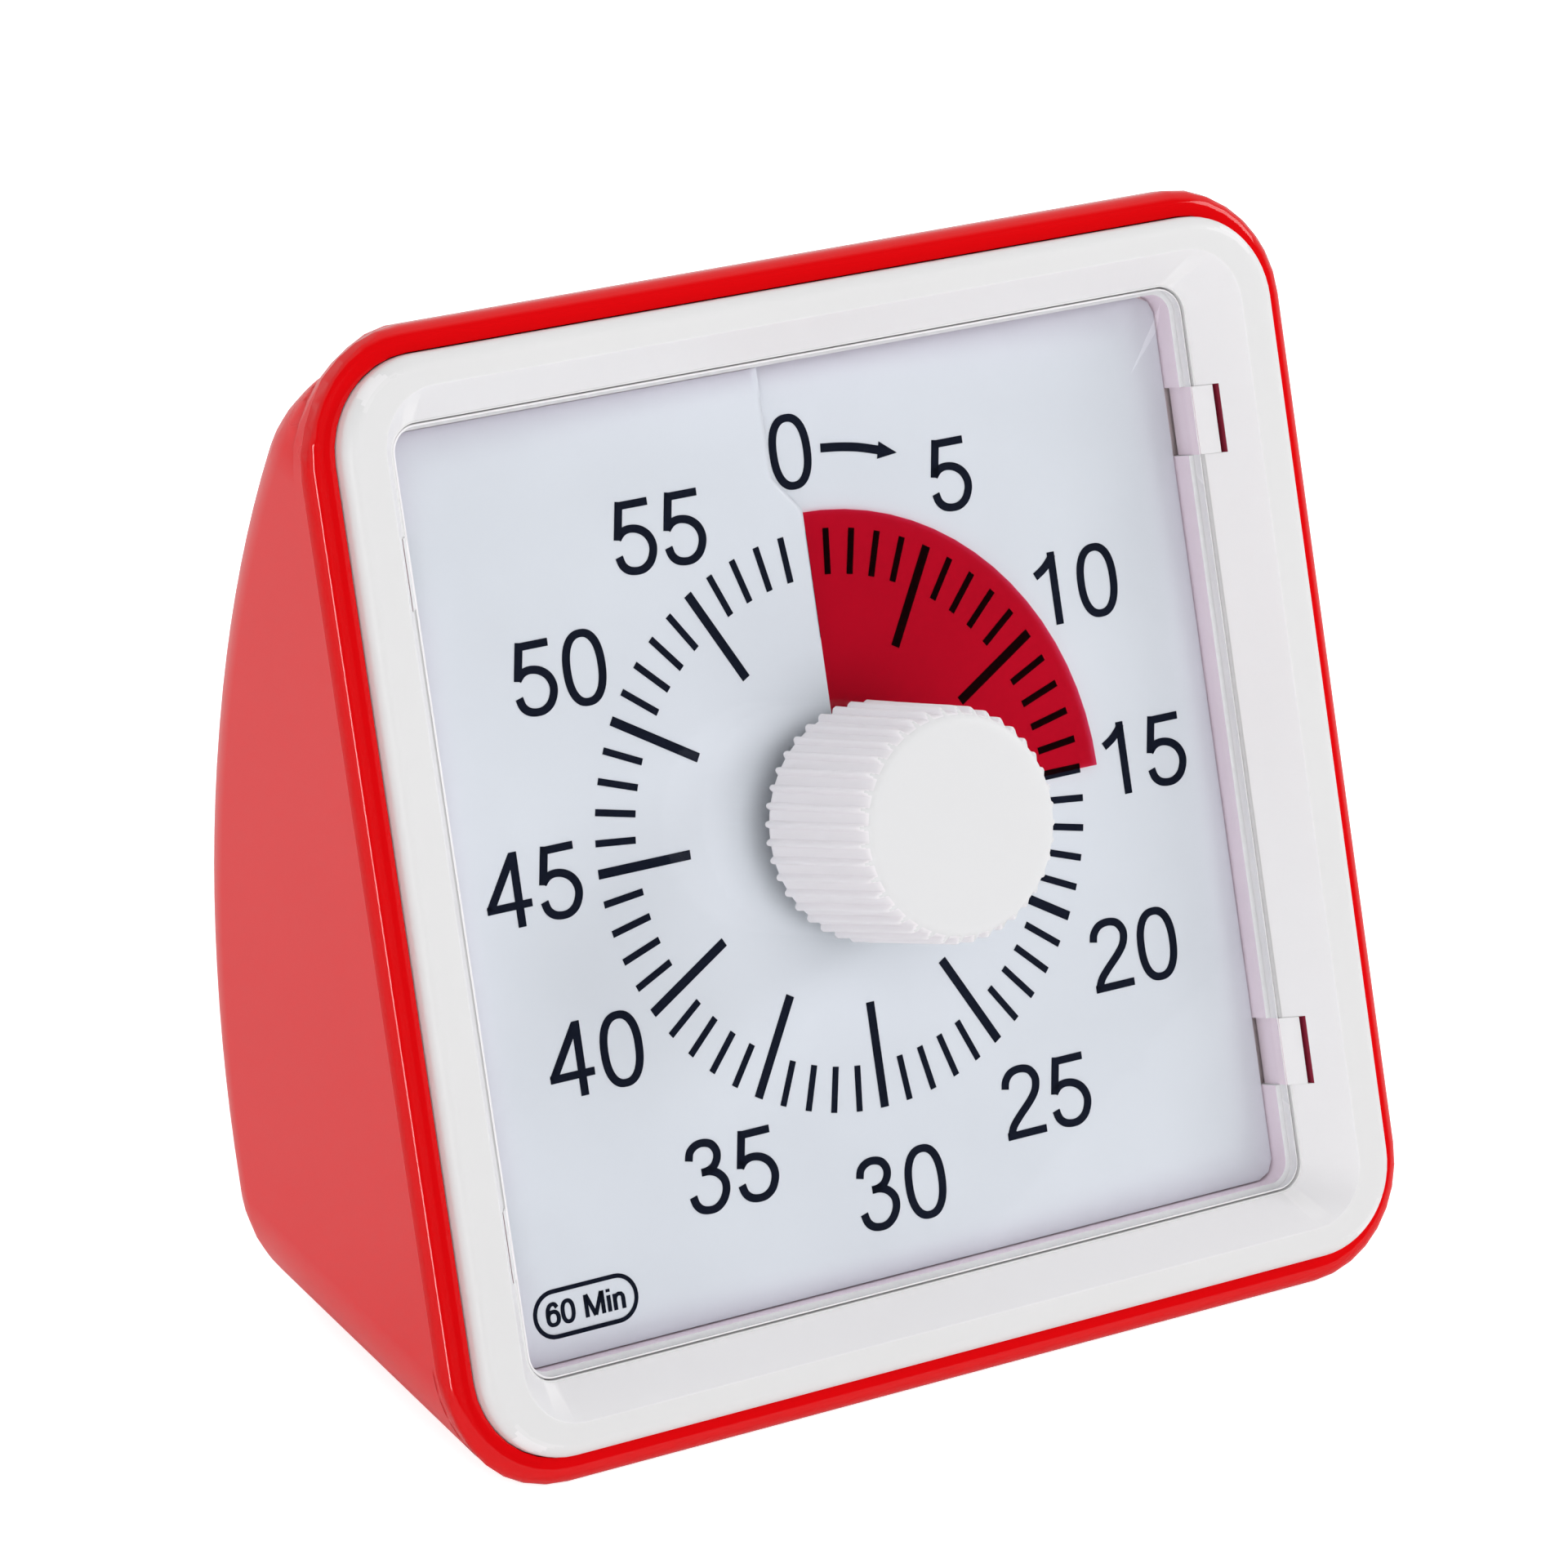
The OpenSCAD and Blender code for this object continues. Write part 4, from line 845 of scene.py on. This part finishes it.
def flat_strip(name, line, widths, closed=False):
    """A printed line through points in millimetres, with a width at each point."""
    mesh = bpy.data.meshes.new(name)
    obj = linked(name, mesh)
    count = len(line)
    verts = []
    for k, point in enumerate(line):
        along = heading(line, k, closed)
        side = Vector((-along.y, along.x)) * widths[k] / 2
        verts += [(*(point - side), PRINT_BACK), (*(point + side), PRINT_BACK),
                  (*(point + side), PRINT_FRONT), (*(point - side), PRINT_FRONT)]
    faces = []
    for k in range(count if closed else count - 1):
        a, b = 4 * k, 4 * ((k + 1) % count)
        faces += [(a + i, a + (i + 1) % 4, b + (i + 1) % 4, b + i) for i in range(4)]
    if not closed:
        faces += [(3, 2, 1, 0), tuple(4 * (count - 1) + i for i in range(4))]
    mesh.from_pydata(verts, [], faces)
    return turn_faces_out(obj)


def pen_widths(line, pen, closed):
    """Upright strokes come out a little heavier than level ones."""
    return [pen * (0.88 + 0.12 * abs(heading(line, k, closed).y)) for k in range(len(line))]


def lettered(words, at, scale=1.0, pen=PEN):
    """Words drawn stroke by stroke, centred at a place on the dial."""
    left = -sum(ADVANCE.get(letter, FIGURE_WIDTH) for letter in words) / 2
    strips = []
    for letter in words:
        shift = Vector((left, -FIGURE_MIDDLE))
        for points, curved, closed in STROKES[letter]:
            line = smooth_line(points) if curved else [Vector(point) for point in points]
            line = [Vector(at) + scale * (point + shift) for point in line]
            strips.append(flat_strip("stroke", line, pen_widths(line, pen, closed), closed))
        left += ADVANCE.get(letter, FIGURE_WIDTH)
    return strips


def dial_numbers():
    """The twelve numbers, each with its middle at a place of its own."""
    places = {0: (0.16, 27.36), 5: (13.72, 23.55), 10: (23.33, 13.59), 15: (27.31, 0.0),
              20: (24.09, -14.33), 25: (14.36, -23.6), 30: (0.48, -27.67), 35: (-13.86, -23.34),
              40: (-23.77, -12.74), 45: (-26.9, 0.2), 50: (-22.31, 14.93), 55: (-12.4, 23.52)}
    strips = [strip for number, at in places.items() for strip in lettered(str(number), at)]
    lay_on_sheet(join_as("dial_numbers", strips))


def turn_arrow():
    """Slightly bowed arrow that points the way the minutes are counted."""
    bow = smooth_line([(2.8, 27.22), (4.4, 27.05), (6.05, 26.76), (7.8, 26.27)])
    shaft = flat_strip("arrow_shaft", bow, [PEN] * len(bow))
    head = flat_strip("arrow_head", [Vector((7.72, 26.28)), Vector((9.33, 25.84))], [1.3, 0.02])
    lay_on_sheet(join_as("turn_arrow", [shaft, head]))


def minutes_badge():
    """The pill-shaped ring round the words 60 Min."""
    middle = Vector((-27.72, -30.44))
    half_w, half_h = 4.31, 1.65
    outline = []
    for side, start in ((1, -90), (-1, 90)):
        for k in range(BADGE_STEPS + 1):
            turn = math.radians(start + 180 * k / BADGE_STEPS)
            outline.append(middle + Vector((side * (half_w - half_h) + half_h * math.cos(turn),
                                            half_h * math.sin(turn))))
    ring = flat_strip("badge_ring", outline, [PEN / 2] * len(outline), True)
    words = lettered("60 Min", middle + Vector((0.03, 0.0)), 0.305, PEN / 2)
    lay_on_sheet(join_as("minutes_badge", [ring] + words))


# ---------- floor, light and camera, in metres ----------


def pale_floor():
    """A wide floor that takes the shadow and is lifted to white for the camera alone."""
    bpy.ops.mesh.primitive_plane_add(size=12)
    obj = named(bpy.context.object, "pale_floor")
    mat, tree, bsdf = fresh("pale_floor")
    mottling = noise(tree, surface_place(tree), 1.5)
    wire_up(tree, ramp(tree, mottling, [(0.3, (0.90, 0.90, 0.90)), (0.7, (0.92, 0.92, 0.92))]),
            bsdf.inputs["Base Color"])
    bsdf.inputs["Roughness"].default_value = 0.9
    bsdf.inputs["Specular IOR Level"].default_value = 0.0
    path = tree.nodes.new("ShaderNodeLightPath")
    lift = tree.nodes.new("ShaderNodeMath")
    lift.operation = "MULTIPLY"
    lift.inputs[1].default_value = 0.75
    wire_up(tree, path.outputs["Is Camera Ray"], lift.inputs[0])
    bsdf.inputs["Emission Color"].default_value = (1, 1, 1, 1)
    wire_up(tree, lift.outputs["Value"], bsdf.inputs["Emission Strength"])
    dress(obj, mat)


def softbox(name, at, size, power):
    """A lamp with a rectangular face that looks at the middle of the timer."""
    light = bpy.data.lights.new(name, "AREA")
    light.shape = "RECTANGLE"
    light.size, light.size_y = size
    light.energy = power
    obj = linked(name, light)
    obj.location = at
    aim = Vector((0, 0, 0.04))
    obj.rotation_euler = (aim - Vector(at)).to_track_quat("-Z", "Y").to_euler()
    return obj


def white_tent():
    """White all round but for a dark patch in front, and all white to the camera."""
    world = bpy.data.worlds.new("white_tent")
    bpy.context.scene.world = world
    world.use_nodes = True
    tree = world.node_tree
    coord = tree.nodes.new("ShaderNodeTexCoord")
    toward = tree.nodes.new("ShaderNodeVectorMath")
    toward.operation = "DOT_PRODUCT"
    patch_middle, patch_core, patch_edge = Vector((0.05, -0.92, 0.38)), 50, 76
    toward.inputs[1].default_value = patch_middle.normalized()
    wire_up(tree, coord.outputs["Generated"], toward.inputs[0])
    patch = tree.nodes.new("ShaderNodeMapRange")
    patch.interpolation_type = "SMOOTHSTEP"
    patch.inputs["From Min"].default_value = math.cos(math.radians(patch_edge))
    patch.inputs["From Max"].default_value = math.cos(math.radians(patch_core))
    patch.inputs["To Min"].default_value = 0.95
    patch.inputs["To Max"].default_value = 0.03
    wire_up(tree, toward.outputs["Value"], patch.inputs["Value"])
    path = tree.nodes.new("ShaderNodeLightPath")
    seen = tree.nodes.new("ShaderNodeMix")
    seen.data_type = "FLOAT"
    wire_up(tree, path.outputs["Is Camera Ray"], seen.inputs[0])
    wire_up(tree, patch.outputs["Result"], seen.inputs[2])
    seen.inputs[3].default_value = 1.0
    tent = tree.nodes["Background"]
    wire_up(tree, seen.outputs[0], tent.inputs["Strength"])
    tent.inputs["Color"].default_value = (1, 1, 1, 1)


def studio_light():
    """The tent, a key from the right, a strip at the left for edges, and a fill from the front."""
    white_tent()
    softbox("key", (1.15, -0.5, 0.75), (0.5, 0.5), 5)
    strip = softbox("edge_strip", (-1.0, -0.62, 0.2), (0.09, 0.9), 6)
    strip.visible_diffuse = False
    fill = softbox("fill", (-0.3, -1.45, 0.75), (1.4, 1.4), 17.5)
    fill.visible_glossy = False


def long_lens_camera():
    """Looks from the left and above, turned a little about its own line of sight."""
    azimuth, elevation, roll = math.radians(-36.4705), math.radians(27.6049), math.radians(-6.6645)
    distance, target = 0.57552, Vector((-0.003614, 0.003151, 0.038538))
    back = Vector((math.sin(azimuth) * math.cos(elevation),
                   -math.cos(azimuth) * math.cos(elevation), math.sin(elevation)))
    lens = bpy.data.cameras.new("long_lens_camera")
    lens.sensor_width = 36
    lens.lens = 180.22
    lens.clip_start, lens.clip_end = 0.05, 50
    camera = linked("long_lens_camera", lens)
    camera.rotation_mode = "QUATERNION"
    upright = (-back).to_track_quat("-Z", "Y")
    camera.rotation_quaternion = upright @ Matrix.Rotation(-roll, 3, "Z").to_quaternion()
    camera.location = target + back * distance
    bpy.context.scene.camera = camera


bpy.context.scene.view_settings.view_transform = "Standard"
long_lens_camera()
pale_floor()
studio_light()
dress_inner_pieces()
housing_shell()
bezel_frame()
lens_window()
film_disc()
dial_face()
ribbed_knob()
door_panel()
slide_button()
dial_ticks()
dial_numbers()
turn_arrow()
minutes_badge()
